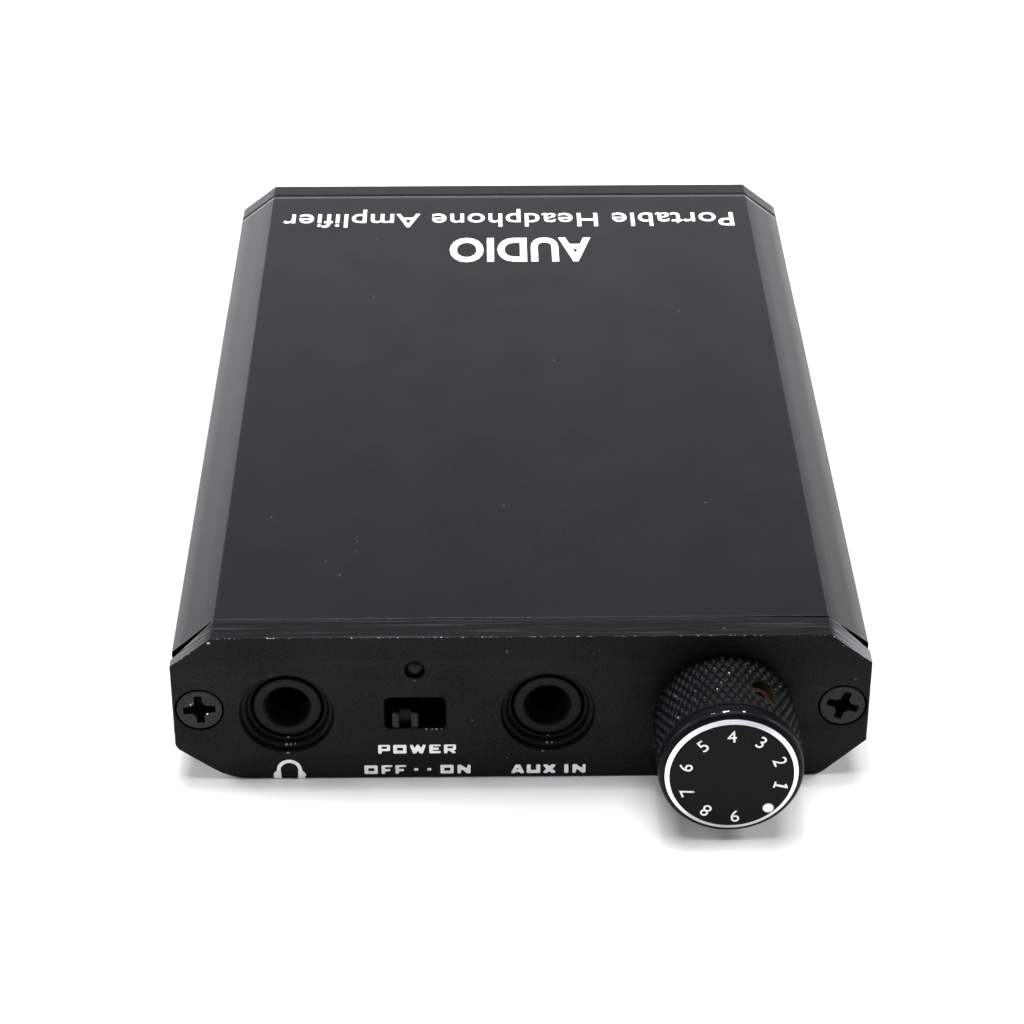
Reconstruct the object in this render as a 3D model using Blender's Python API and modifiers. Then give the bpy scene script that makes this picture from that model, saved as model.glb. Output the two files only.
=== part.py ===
"""Portable headphone amplifier: an extruded octagonal case with two end plates, and the board, jacks, switch,
volume control, cell and charging socket inside it.

Metres, +Z up. The front plate faces -Y, and X runs to the right as the user sees it. The origin is the centre of
the case's bottom face. Depths are measured from the front face, so that depth 0 is the face itself.
"""

import math

import bmesh
import bpy
from mathutils import Matrix, Vector

MM = 0.001

# ---------------------------------------------------------------- driving dimensions

CASE_WIDTH = 65.0 * MM
CASE_HEIGHT = 16.0 * MM
CASE_LENGTH = 98.5 * MM
UPPER_CHAMFER = (4.0 * MM, 3.1 * MM)  # across, down
LOWER_CHAMFER = (4.3 * MM, 4.0 * MM)
WALL = 1.5 * MM
PLATE = 3.0 * MM
SEAM = 0.25 * MM  # between an end plate and the sleeve
GAP = 0.15 * MM  # between pieces that rest on each other

FRONT_Y = -CASE_LENGTH / 2
REAR_Y = CASE_LENGTH / 2

AXIS_Z = 7.45 * MM  # jacks and volume control lie on one line
HEADPHONE_X = -21.9 * MM
AUX_X = 2.5 * MM
SWITCH_X = -9.87 * MM
VOLUME_X = 18.87 * MM
LAMP_Z = 12.33 * MM

SCREW_X = 30.0 * MM
SCREW_Z = CASE_HEIGHT / 2
SCREW_HEAD_R = 2.33 * MM
SCREW_SHANK_R = 1.2 * MM
SCREW_LENGTH = 9.0 * MM
PORT_R = 2.3 * MM  # the screw port's outer radius in the sleeve
PORT_BORE_R = 1.35 * MM

BOARD_TOP = 4.1 * MM
BOARD_THICKNESS = 1.6 * MM
BOARD_HALF_WIDTH = 28.1 * MM
PIN_END_Z = 2.0 * MM  # how far the leads reach below the board
PIN_HOLE_R = 0.6 * MM
LEAD_HOLE_R = 0.45 * MM

JACK_BORE_R = 1.8 * MM
JACK_MOUTH_R = 2.05 * MM
BARREL_R = 3.15 * MM
BARREL_DEPTH = 1.15 * MM  # how far the barrel's face lies behind the front face

SWITCH_TRAVEL = 2.0 * MM
NUB_WIDTH = 2.5 * MM

SHAFT_R = 3.0 * MM
SHAFT_BORE_R = 3.08 * MM
KNOB_R = 6.7 * MM
KNOB_LENGTH = 10.0 * MM
KNOB_BACK = 0.6 * MM  # between the knob and the plate
SET_SCREW_ANGLE = math.radians(28)  # from straight up, clockwise as the user sees it
SET_SCREW_FROM_FACE = 5.0 * MM

CELL = (34.0 * MM, 50.0 * MM, 5.0 * MM)
CELL_FRONT = 35.5 * MM
CELL_BOTTOM = 4.9 * MM

SOCKET_X = 0.0
CHARGE_LAMP_X = 10.5 * MM

# ---------------------------------------------------------------- scene, materials and placing

for old in list(bpy.data.objects):
    bpy.data.objects.remove(old, do_unlink=True)

parts = bpy.data.collections.new("headphone_amplifier")
cutters = bpy.data.collections.new("cutters")
bpy.context.scene.collection.children.link(parts)
bpy.context.scene.collection.children.link(cutters)
cutters.hide_render = True


def material(name, colour, roughness, metallic=0.0):
    """A Principled surface of one colour."""
    made = bpy.data.materials.new(name)
    made.use_nodes = True
    shader = made.node_tree.nodes["Principled BSDF"]
    shader.inputs["Base Color"].default_value = (*colour, 1.0)
    shader.inputs["Roughness"].default_value = roughness
    shader.inputs["Metallic"].default_value = metallic
    return made


BLACK_ALUMINIUM = material("black_anodised_aluminium", (0.02, 0.02, 0.022), 0.42, 0.6)
BLACK_STEEL = material("blackened_steel", (0.03, 0.03, 0.03), 0.35, 0.8)
BLACK_PLASTIC = material("black_plastic", (0.02, 0.02, 0.02), 0.45)
WHITE_PLASTIC = material("white_plastic", (0.8, 0.79, 0.74), 0.4)
TINNED_METAL = material("tinned_metal", (0.62, 0.6, 0.56), 0.3, 1.0)
BRASS = material("brass", (0.65, 0.45, 0.18), 0.35, 1.0)
BOARD_GREEN = material("board_green", (0.02, 0.13, 0.06), 0.4)
PHENOLIC = material("phenolic_brown", (0.28, 0.13, 0.05), 0.6)
CLEAR_RESIN = material("lamp_resin", (0.6, 0.62, 0.64), 0.2)
CELL_FOIL = material("cell_foil", (0.62, 0.63, 0.66), 0.35, 0.7)
FOAM = material("foam", (0.05, 0.05, 0.05), 0.9)
RED_WIRE = material("red_wire", (0.55, 0.02, 0.02), 0.45)
BLACK_WIRE = material("black_wire", (0.02, 0.02, 0.02), 0.45)


def depth(distance):
    """The Y of a point this far behind the front face."""
    return FRONT_Y + distance


def finish(obj, name, surface, parent=None, smooth=True):
    """Names a finished piece, gives it its surface, and files it with the parts."""
    obj.name = name
    obj.data.name = name
    obj.data.materials.clear()
    obj.data.materials.append(surface)
    for held in list(obj.users_collection):
        held.objects.unlink(obj)
    parts.objects.link(obj)
    if smooth:
        obj.data.shade_smooth()
        obj.data.set_sharp_from_angle(angle=math.radians(35))
    if parent is not None:
        keep_place_under(obj, parent)
    return obj


def keep_place_under(obj, parent):
    """Parents obj without moving it."""
    bpy.context.view_layer.update()
    world = obj.matrix_world.copy()
    obj.parent = parent
    obj.matrix_parent_inverse = parent.matrix_world.inverted()
    obj.matrix_world = world


def pivot(name, place):
    """An empty that moving pieces hang from."""
    empty = bpy.data.objects.new(name, None)
    empty.empty_display_size = 5 * MM
    empty.location = place
    parts.objects.link(empty)
    bpy.context.view_layer.update()
    return empty


# ---------------------------------------------------------------- outlines


def circle(centre, radius, count=32):
    """Points round a circle in a plane."""
    turns = [2 * math.pi * k / count for k in range(count)]
    return [(centre[0] + radius * math.cos(t), centre[1] + radius * math.sin(t)) for t in turns]


def rectangle(low, high, radius=0.0, steps=4):
    """A rectangle whose corners are arcs of the radius given."""
    if not radius:
        return [low, (high[0], low[1]), high, (low[0], high[1])]
    centres = [
        (high[0] - radius, low[1] + radius),
        (high[0] - radius, high[1] - radius),
        (low[0] + radius, high[1] - radius),
        (low[0] + radius, low[1] + radius),
    ]
    points = []
    for corner, (x, y) in enumerate(centres):
        for k in range(steps + 1):
            angle = math.pi / 2 * (corner - 1 + k / steps)
            points.append((x + radius * math.cos(angle), y + radius * math.sin(angle)))
    return points


def mirrored(right_half):
    """A closed outline from its right half, which runs from bottom to top."""
    return right_half + [(-x, z) for x, z in reversed(right_half)]


def case_outline():
    """The case's octagon, seen from the front as X and Z."""
    half, top = CASE_WIDTH / 2, CASE_HEIGHT
    across_up, down = UPPER_CHAMFER
    across_low, up = LOWER_CHAMFER
    return mirrored([(half - across_low, 0.0), (half, up), (half, top - down), (half - across_up, top)])


# ---------------------------------------------------------------- solids


def filled_curve(loops, thickness):
    """A mesh object from closed outlines: the first is the edge, the others are holes through it. Z is the thickness."""
    curve = bpy.data.curves.new("outline", "CURVE")
    curve.dimensions = "2D"
    curve.fill_mode = "BOTH"
    curve.extrude = thickness / 2
    for loop in loops:
        spline = curve.splines.new("POLY")
        spline.points.add(len(loop) - 1)
        spline.use_cyclic_u = True
        for point, (x, y) in zip(spline.points, loop):
            point.co = (x, y, 0.0, 1.0)
    return meshed(bpy.data.objects.new("outline", curve))


def meshed(source):
    """Turns a curve object into a mesh object with its loose caps welded on."""
    parts.objects.link(source)
    bpy.context.view_layer.update()
    graph = bpy.context.evaluated_depsgraph_get()
    mesh = bpy.data.meshes.new_from_object(source.evaluated_get(graph))
    made = bpy.data.objects.new("mesh", mesh)
    made.matrix_world = source.matrix_world
    parts.objects.link(made)
    bpy.data.objects.remove(source, do_unlink=True)
    edit = bmesh.new()
    edit.from_mesh(mesh)
    bmesh.ops.remove_doubles(edit, verts=edit.verts, dist=1e-7)
    bmesh.ops.recalc_face_normals(edit, faces=edit.faces)
    edit.to_mesh(mesh)
    edit.free()
    return made


def turn_mesh(obj, matrix):
    """Applies a matrix to the mesh itself, so that the object stays unturned and unscaled."""
    obj.data.transform(matrix)
    return obj


def prism_along_y(loops, near, far):
    """Outlines in X and Z, solid between the two depths."""
    made = filled_curve(loops, far - near)
    turn_mesh(made, Matrix.Rotation(math.radians(90), 4, "X"))
    made.location = (0.0, depth((near + far) / 2), 0.0)
    return made


def prism_along_z(loops, low, high):
    """Outlines in X and Y, solid between the two heights."""
    made = filled_curve(loops, high - low)
    made.location = (0.0, 0.0, (low + high) / 2)
    return made


def box(low, high, rounding=0.0, segments=2):
    """A block between two corners, whose edges may be rounded."""
    low, high = Vector(low), Vector(high)
    bpy.ops.mesh.primitive_cube_add(size=1.0, location=(low + high) / 2)
    made = bpy.context.active_object
    turn_mesh(made, Matrix.Diagonal((*(high - low), 1.0)))
    if rounding:
        bevel = made.modifiers.new("rounded", "BEVEL")
        bevel.width = rounding
        bevel.segments = segments
    return made


def turned(profile, place, direction=(0, -1, 0), steps=32):
    """A profile of radius and height, from top to bottom, swept round an axis through place. Height runs along direction."""
    mesh = bpy.data.meshes.new("profile")
    points = [(radius, 0.0, height) for radius, height in profile]
    mesh.from_pydata(points, [(k, k + 1) for k in range(len(points) - 1)], [])
    made = bpy.data.objects.new("turned", mesh)
    parts.objects.link(made)
    sweep = made.modifiers.new("sweep", "SCREW")
    sweep.axis = "Z"
    sweep.steps = sweep.render_steps = steps
    sweep.use_merge_vertices = True
    sweep.merge_threshold = 1e-6
    sweep.use_smooth_shade = True
    made.location = place
    made.rotation_mode = "QUATERNION"
    made.rotation_quaternion = Vector(direction).to_track_quat("Z", "Y")
    return made


def tube(points, radius, rounding=1):
    """A round wire along the points."""
    curve = bpy.data.curves.new("wire", "CURVE")
    curve.dimensions = "3D"
    curve.bevel_depth = radius
    curve.bevel_resolution = rounding
    curve.use_fill_caps = True
    spline = curve.splines.new("POLY")
    spline.points.add(len(points) - 1)
    for point, place in zip(spline.points, points):
        point.co = (*place, 1.0)
    return meshed(bpy.data.objects.new("wire", curve))


def ribbon(path, height, thickness):
    """A bent strip that stands on edge: path in X and Y, centred on its own Z, with a wall of the thickness given."""
    curve = bpy.data.curves.new("strip", "CURVE")
    curve.dimensions = "3D"
    curve.extrude = height / 2
    spline = curve.splines.new("POLY")
    spline.points.add(len(path) - 1)
    for point, (x, y) in zip(spline.points, path):
        point.co = (x, y, 0.0, 1.0)
    made = meshed(bpy.data.objects.new("strip", curve))
    wall = made.modifiers.new("wall", "SOLIDIFY")
    wall.thickness = thickness
    wall.offset = 0.0
    return made


def combine(obj, other, operation):
    """Adds a Boolean of another object, which becomes a cutter."""
    other.hide_render = True
    other.display_type = "WIRE"
    for held in list(other.users_collection):
        held.objects.unlink(other)
    cutters.objects.link(other)
    boolean = obj.modifiers.new(operation.lower(), "BOOLEAN")
    boolean.operation = operation
    boolean.object = other
    return obj


def cut(obj, *others):
    """Takes the others away from obj."""
    for other in others:
        combine(obj, other, "DIFFERENCE")
    return obj


def join(obj, *others):
    """Makes obj and the others one body."""
    for other in others:
        combine(obj, other, "UNION")
    return obj


def closed_by_manifold(obj):
    """Switches every Boolean to the manifold solver, which keeps a piece with many small cuts closed."""
    for modifier in obj.modifiers:
        if modifier.type == "BOOLEAN":
            modifier.solver = "MANIFOLD"
    return obj


def bore(place, radius, length, direction=(0, -1, 0), steps=32):
    """A cylinder for a hole, centred on place."""
    profile = [(0.0, length / 2), (radius, length / 2), (radius, -length / 2), (0.0, -length / 2)]
    return turned(profile, place, direction, steps)


# ---------------------------------------------------------------- case


def port_arc(x_wall):
    """The screw port's round side, from its lower meeting with the side wall to its upper one."""
    start = math.acos((x_wall - SCREW_X) / PORT_R)
    steps = 10
    angles = [-start - (2 * math.pi - 2 * start) * k / steps for k in range(steps + 1)]
    return [(SCREW_X + PORT_R * math.cos(a), SCREW_Z + PORT_R * math.sin(a)) for a in angles]


def sleeve_hollow():
    """The sleeve's inner outline: two rails hold the board's edge on each side, and a port holds each screw."""
    rail_x = 26.9 * MM
    slot_end = BOARD_HALF_WIDTH + 0.3 * MM
    slot_low = BOARD_TOP - BOARD_THICKNESS - 0.2 * MM
    slot_high = BOARD_TOP + 0.25 * MM
    rail = 0.8 * MM
    wall_x = CASE_WIDTH / 2 - WALL
    across, down = UPPER_CHAMFER
    slant = math.hypot(across, down)
    # The chamfer's inner face is the outer one moved in by the wall.
    upper_z = CASE_HEIGHT - down + (WALL * down - WALL * slant) / across
    upper_x = CASE_WIDTH / 2 - across + (WALL * across - WALL * slant) / down
    right = [
        (rail_x, WALL),
        (rail_x, slot_low),
        (slot_end, slot_low),
        (slot_end, slot_high),
        (rail_x, slot_high),
        (rail_x, slot_high + rail),
        (wall_x, slot_high + rail),
        *port_arc(wall_x),
        (wall_x, upper_z),
        (upper_x, CASE_HEIGHT - WALL),
    ]
    return mirrored(right)


def build_sleeve():
    """The extruded aluminium sleeve, open at both ends."""
    ports = [circle((side * SCREW_X, SCREW_Z), PORT_BORE_R, 16) for side in (-1, 1)]
    loops = [case_outline(), sleeve_hollow(), *ports]
    near = PLATE + SEAM
    sleeve = prism_along_y(loops, near, CASE_LENGTH - near)
    finish(sleeve, "case_sleeve", BLACK_ALUMINIUM)


def countersink(side, face_depth, outward):
    """The cone cutter for a screw head in an end plate's outer face."""
    hole_r = 2.5 * MM
    over = 0.5 * MM  # the cutter starts ahead of the face, and so is wider there
    profile = [(0.0, over), (hole_r + over, over), (0.4 * MM, 0.4 * MM - hole_r), (0.0, 0.4 * MM - hole_r)]
    return turned(profile, (side * SCREW_X, depth(face_depth), SCREW_Z), outward, 32)


def build_front_plate():
    """The front plate, with stepped recesses round the jacks."""
    holes = [circle((side * SCREW_X, SCREW_Z), 1.45 * MM, 16) for side in (-1, 1)]
    holes += [circle((x, AXIS_Z), 3.5 * MM, 32) for x in (HEADPHONE_X, AUX_X)]
    holes.append(circle((VOLUME_X, AXIS_Z), 3.7 * MM, 32))
    holes.append(circle((SWITCH_X, LAMP_Z), 1.0 * MM, 20))
    slot_half, slot_z, slot_half_height = 2.95 * MM, 7.5 * MM, 1.87 * MM
    low = (SWITCH_X - slot_half, slot_z - slot_half_height)
    high = (SWITCH_X + slot_half, slot_z + slot_half_height)
    holes.append(rectangle(low, high, 0.5 * MM))
    plate = prism_along_y([case_outline(), *holes], 0.0, PLATE)
    for side in (-1, 1):
        cut(plate, countersink(side, 0.0, (0, -1, 0)))
    for x in (HEADPHONE_X, AUX_X):
        for radius, floor in ((4.45 * MM, 0.65 * MM), (3.98 * MM, 1.15 * MM)):
            cut(plate, bore((x, depth(0.0), AXIS_Z), radius, 2 * floor))
    finish(closed_by_manifold(plate), "front_panel", BLACK_ALUMINIUM)


def build_rear_plate():
    """The rear plate, with the charging socket's opening and the charging lamp's hole."""
    holes = [circle((side * SCREW_X, SCREW_Z), 1.45 * MM, 16) for side in (-1, 1)]
    low = (SOCKET_X - 4.3 * MM, 3.85 * MM)
    high = (SOCKET_X + 4.3 * MM, 7.35 * MM)
    holes.append(rectangle(low, high, 0.8 * MM))
    holes.append(circle((CHARGE_LAMP_X, AXIS_Z), 1.0 * MM, 20))
    plate = prism_along_y([case_outline(), *holes], CASE_LENGTH - PLATE, CASE_LENGTH)
    for side in (-1, 1):
        cut(plate, countersink(side, CASE_LENGTH, (0, 1, 0)))
    finish(closed_by_manifold(plate), "rear_panel", BLACK_ALUMINIUM)


def build_case_screw(name, side, face_depth, outward, turn):
    """A countersunk screw with a cross recess. Its head lies just under the plate's face."""
    below = -0.05 * MM
    cone_end = below - (SCREW_HEAD_R - SCREW_SHANK_R)
    tip = 0.4 * MM
    profile = [
        (0.0, below),
        (SCREW_HEAD_R, below),
        (SCREW_SHANK_R, cone_end),
        (SCREW_SHANK_R, tip - SCREW_LENGTH),
        (SCREW_SHANK_R - tip, -SCREW_LENGTH),
        (0.0, -SCREW_LENGTH),
    ]
    place = (side * SCREW_X, depth(face_depth), SCREW_Z)
    screw = turned(profile, place, outward, 24)
    arm, width, sunk = 1.35 * MM, 0.32 * MM, 1.1 * MM
    for quarter in (0, 1):
        slot = box((-arm, -width, below - sunk), (arm, width, 0.5 * MM))
        turn_mesh(slot, Matrix.Translation(slot.location))
        aim = Vector(outward).to_track_quat("Z", "Y").to_matrix().to_4x4()
        turn_mesh(slot, aim @ Matrix.Rotation(turn + quarter * math.pi / 2, 4, "Z"))
        slot.location = place
        cut(screw, slot)
    finish(screw, name, BLACK_STEEL)


def build_case():
    """Sleeve, end plates and their four screws."""
    build_sleeve()
    build_front_plate()
    build_rear_plate()
    front, rear = (0, -1, 0), (0, 1, 0)
    build_case_screw("front_screw_left", -1, 0.0, front, math.radians(10))
    build_case_screw("front_screw_right", 1, 0.0, front, math.radians(-17))
    build_case_screw("rear_screw_left", 1, CASE_LENGTH, rear, math.radians(35))
    build_case_screw("rear_screw_right", -1, CASE_LENGTH, rear, math.radians(4))


# ---------------------------------------------------------------- circuit board

# Where leads pass through the board, as X, depth and the hole's radius. Each piece adds its own.
board_holes = []


def pin_hole(x, behind, radius=PIN_HOLE_R):
    """Notes a hole for a lead and gives the place back."""
    board_holes.append(circle((x, depth(behind)), radius, 10))
    return x, depth(behind)


def build_board():
    """The circuit board, which slides in the sleeve's rails. A notch clears the volume control."""
    front, rear = depth(3.6 * MM), depth(94.9 * MM)
    notch_left, notch_right = VOLUME_X - 5.2 * MM, VOLUME_X + 5.2 * MM
    notch_back = depth(11.8 * MM)
    outline = [
        (-BOARD_HALF_WIDTH, front),
        (notch_left, front),
        (notch_left, notch_back),
        (notch_right, notch_back),
        (notch_right, front),
        (BOARD_HALF_WIDTH, front),
        (BOARD_HALF_WIDTH, rear),
        (-BOARD_HALF_WIDTH, rear),
    ]
    board = prism_along_z([outline, *board_holes], BOARD_TOP - BOARD_THICKNESS, BOARD_TOP)
    finish(board, "circuit_board", BOARD_GREEN, smooth=False)


# ---------------------------------------------------------------- jacks


def build_jack(label, x):
    """A 3.5 mm stereo jack: housing, ground collar in the mouth, and the ring's and the tip's contact springs."""
    half_width, low, high = 4.0 * MM, BOARD_TOP + GAP, 10.65 * MM
    near, far, bore_end = 3.6 * MM, 16.1 * MM, 15.2 * MM
    housing = box((x - half_width, depth(near), low), (x + half_width, depth(far), high))
    axis_at = Vector((x, FRONT_Y, AXIS_Z))
    barrel = [(0.0, -BARREL_DEPTH), (BARREL_R, -BARREL_DEPTH), (BARREL_R, -near - 1.0 * MM), (0.0, -near - 1.0 * MM)]
    join(housing, turned(barrel, axis_at))
    collar_seat = 6.0 * MM
    hollow = [
        (0.0, 0.0),
        (JACK_MOUTH_R, 0.0),
        (JACK_MOUTH_R, -collar_seat),
        (JACK_BORE_R, -collar_seat),
        (JACK_BORE_R, -bore_end),
        (0.0, -bore_end),
    ]
    cut(housing, turned(hollow, axis_at, steps=24))

    # The collar is a short metal tube with a tail that goes down through the board.
    collar_out, collar_in, collar_near, collar_far = 1.97 * MM, 1.78 * MM, 2.95 * MM, 5.85 * MM
    ring = [
        (collar_in, -collar_near),
        (collar_out, -collar_near),
        (collar_out, -collar_far),
        (collar_in, -collar_far),
        (collar_in, -collar_near),
    ]
    collar = turned(ring, axis_at, steps=24)
    tail_x, tail_y = pin_hole(x, 5.4 * MM)
    tail_half = 0.25 * MM
    tail_top = AXIS_Z - (collar_out + collar_in) / 2
    tail = box((tail_x - tail_half, tail_y - tail_half, PIN_END_Z), (tail_x + tail_half, tail_y + tail_half, tail_top))
    join(collar, tail)
    slot = 0.45 * MM
    cut(housing, box((x - slot, tail_y - slot, 3.0 * MM), (x + slot, tail_y + slot, AXIS_Z)))
    finish(collar, f"{label}_jack_ground_collar", TINNED_METAL)

    # Each spring sits in a pocket at the side of the bore, with its pin outside the housing.
    for contact, side, back in (("tip", -1, 14.1 * MM), ("ring", 1, 10.1 * MM)):
        pocket_half = 1.2 * MM
        inner, outer = x + side * 0.9 * MM, x + side * (half_width + 1.0 * MM)
        low_corner = (min(inner, outer), depth(back - 4.2 * MM), AXIS_Z - pocket_half)
        high_corner = (max(inner, outer), depth(back - 0.3 * MM), AXIS_Z + pocket_half)
        cut(housing, box(low_corner, high_corner))
        pin_x, pin_y = pin_hole(x + side * 4.4 * MM, back)
        path = [
            (pin_x, pin_y + 0.25 * MM),
            (pin_x, pin_y - 0.7 * MM),
            (x + side * 3.4 * MM, pin_y - 1.2 * MM),
            (x + side * 1.45 * MM, pin_y - 2.4 * MM),
            (x + side * 2.3 * MM, pin_y - 3.5 * MM),
        ]
        spring = ribbon(path, 1.6 * MM, 0.25 * MM)
        turn_mesh(spring, Matrix.Translation((0.0, 0.0, AXIS_Z)))
        pin_low = (pin_x - 0.125 * MM, pin_y - 0.3 * MM, PIN_END_Z)
        pin_high = (pin_x + 0.125 * MM, pin_y + 0.25 * MM, AXIS_Z)
        join(spring, box(pin_low, pin_high))
        finish(spring, f"{label}_jack_{contact}_spring", TINNED_METAL, smooth=False)
    finish(closed_by_manifold(housing), f"{label}_jack_housing", BLACK_PLASTIC)


# ---------------------------------------------------------------- power switch


def build_switch():
    """The slide switch: metal frame, base, three terminals, and the slider with the contact bridge that it carries."""
    low, high = BOARD_TOP + GAP, 8.3 * MM
    middle_z = (low + high) / 2
    half, near, far, wall = 4.3 * MM, 3.4 * MM, 7.0 * MM, 0.3 * MM
    frame = box((SWITCH_X - half, depth(near), low), (SWITCH_X + half, depth(far), high))
    hollow_low = (SWITCH_X - half + wall, depth(near + wall), low + wall)
    hollow_high = (SWITCH_X + half - wall, depth(far + 1.0 * MM), high - wall)
    nub_low, nub_high, slack = 5.9 * MM, 7.35 * MM, 0.25 * MM
    slot_half = (NUB_WIDTH + SWITCH_TRAVEL) / 2 + slack
    slot_low = (SWITCH_X - slot_half, depth(near - 1.0 * MM), nub_low - slack)
    slot_high = (SWITCH_X + slot_half, depth(near + 1.0 * MM), nub_high + slack)
    cut(frame, box(hollow_low, hollow_high), box(slot_low, slot_high))
    finish(frame, "power_switch_frame", TINNED_METAL, smooth=False)

    base_half = 4.1 * MM
    base_low = (SWITCH_X - base_half, depth(far + GAP), low + 0.05 * MM)
    base = box(base_low, (SWITCH_X + base_half, depth(far + 1.1 * MM), high - 0.05 * MM))
    finish(base, "power_switch_base", PHENOLIC, smooth=False)

    for number, offset in enumerate((-2.5 * MM, 0.0, 2.5 * MM), 1):
        x, y = pin_hole(SWITCH_X + offset, far + 1.45 * MM)
        blade_low = (x - 0.4 * MM, y - 0.15 * MM, PIN_END_Z)
        blade = box(blade_low, (x + 0.4 * MM, y + 0.15 * MM, middle_z + 0.6 * MM))
        finish(blade, f"power_switch_terminal_{number}", TINNED_METAL, smooth=False)

    # At rest the switch is off, so the slider is at the left end of its travel.
    slider_x = SWITCH_X - SWITCH_TRAVEL / 2
    rail = pivot("power_slide", (slider_x, depth(near), middle_z))
    block_half, block_low, block_high = 2.2 * MM, low + wall + 0.15 * MM, high - wall - 0.15 * MM
    block_far = 5.6 * MM
    slider = box(
        (slider_x - block_half, depth(near + wall + 0.15 * MM), block_low),
        (slider_x + block_half, depth(block_far), block_high),
    )
    nub_face, groove_half, groove = 0.15 * MM, 0.58 * MM, 1.1 * MM
    nub = box(
        (slider_x - NUB_WIDTH / 2, depth(nub_face), nub_low),
        (slider_x + NUB_WIDTH / 2, depth(near + 1.0 * MM), nub_high),
    )
    channel = box(
        (slider_x - groove_half, depth(nub_face - 1.0 * MM), nub_low - 1.0 * MM),
        (slider_x + groove_half, depth(nub_face + groove), nub_high + 1.0 * MM),
    )
    join(slider, nub)
    cut(slider, channel)
    finish(slider, "power_switch_slider", BLACK_PLASTIC, rail, smooth=False)

    start = depth(block_far + 0.3 * MM)
    path = [
        (slider_x - 1.7 * MM, start),
        (slider_x - 1.25 * MM, start + 0.75 * MM),
        (slider_x - 0.6 * MM, start + 0.1 * MM),
        (slider_x + 0.6 * MM, start + 0.1 * MM),
        (slider_x + 1.25 * MM, start + 0.75 * MM),
        (slider_x + 1.7 * MM, start),
    ]
    bridge = ribbon(path, 1.4 * MM, 0.15 * MM)
    turn_mesh(bridge, Matrix.Translation((0.0, 0.0, middle_z)))
    finish(bridge, "power_switch_bridge", BRASS, rail, smooth=False)


# ---------------------------------------------------------------- lamps


def build_lamp(label, x, z, face_depth, inward, bend):
    """A small round lamp and its two leads. Inward is +1 behind the front plate and -1 behind the rear one."""
    outward = (0, -inward, 0)
    sunk, radius, flange_r, shoulder, back = 0.35 * MM, 0.88 * MM, 1.2 * MM, 3.4 * MM, 4.2 * MM
    steps = 5
    dome = []
    for k in range(steps + 1):
        angle = math.pi / 2 * (1 - k / steps)
        dome.append((radius * math.cos(angle), -sunk - radius * (1 - math.sin(angle))))
    dome[0] = (0.0, -sunk)
    profile = [*dome, (radius, -shoulder), (flange_r, -shoulder), (flange_r, -back), (0.0, -back)]
    lens = turned(profile, (x, depth(face_depth), z), outward, 20)
    finish(lens, f"{label}_lamp_lens", CLEAR_RESIN)

    corner = 0.8 * MM
    for lead, side in (("anode", -1), ("cathode", 1)):
        at = x + side * 0.6 * MM
        pin_hole(at, face_depth + inward * bend, LEAD_HOLE_R)
        points = [(at, depth(face_depth + inward * (back + GAP)), z)]
        for k in range(4):
            angle = math.pi / 2 * k / 3
            along = bend - corner + corner * math.sin(angle)
            down = corner - corner * math.cos(angle)
            points.append((at, depth(face_depth + inward * along), z - down))
        points.append((at, depth(face_depth + inward * bend), PIN_END_Z))
        finish(tube(points, 0.24 * MM), f"{label}_lamp_{lead}_lead", TINNED_METAL)


# ---------------------------------------------------------------- volume control


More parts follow.
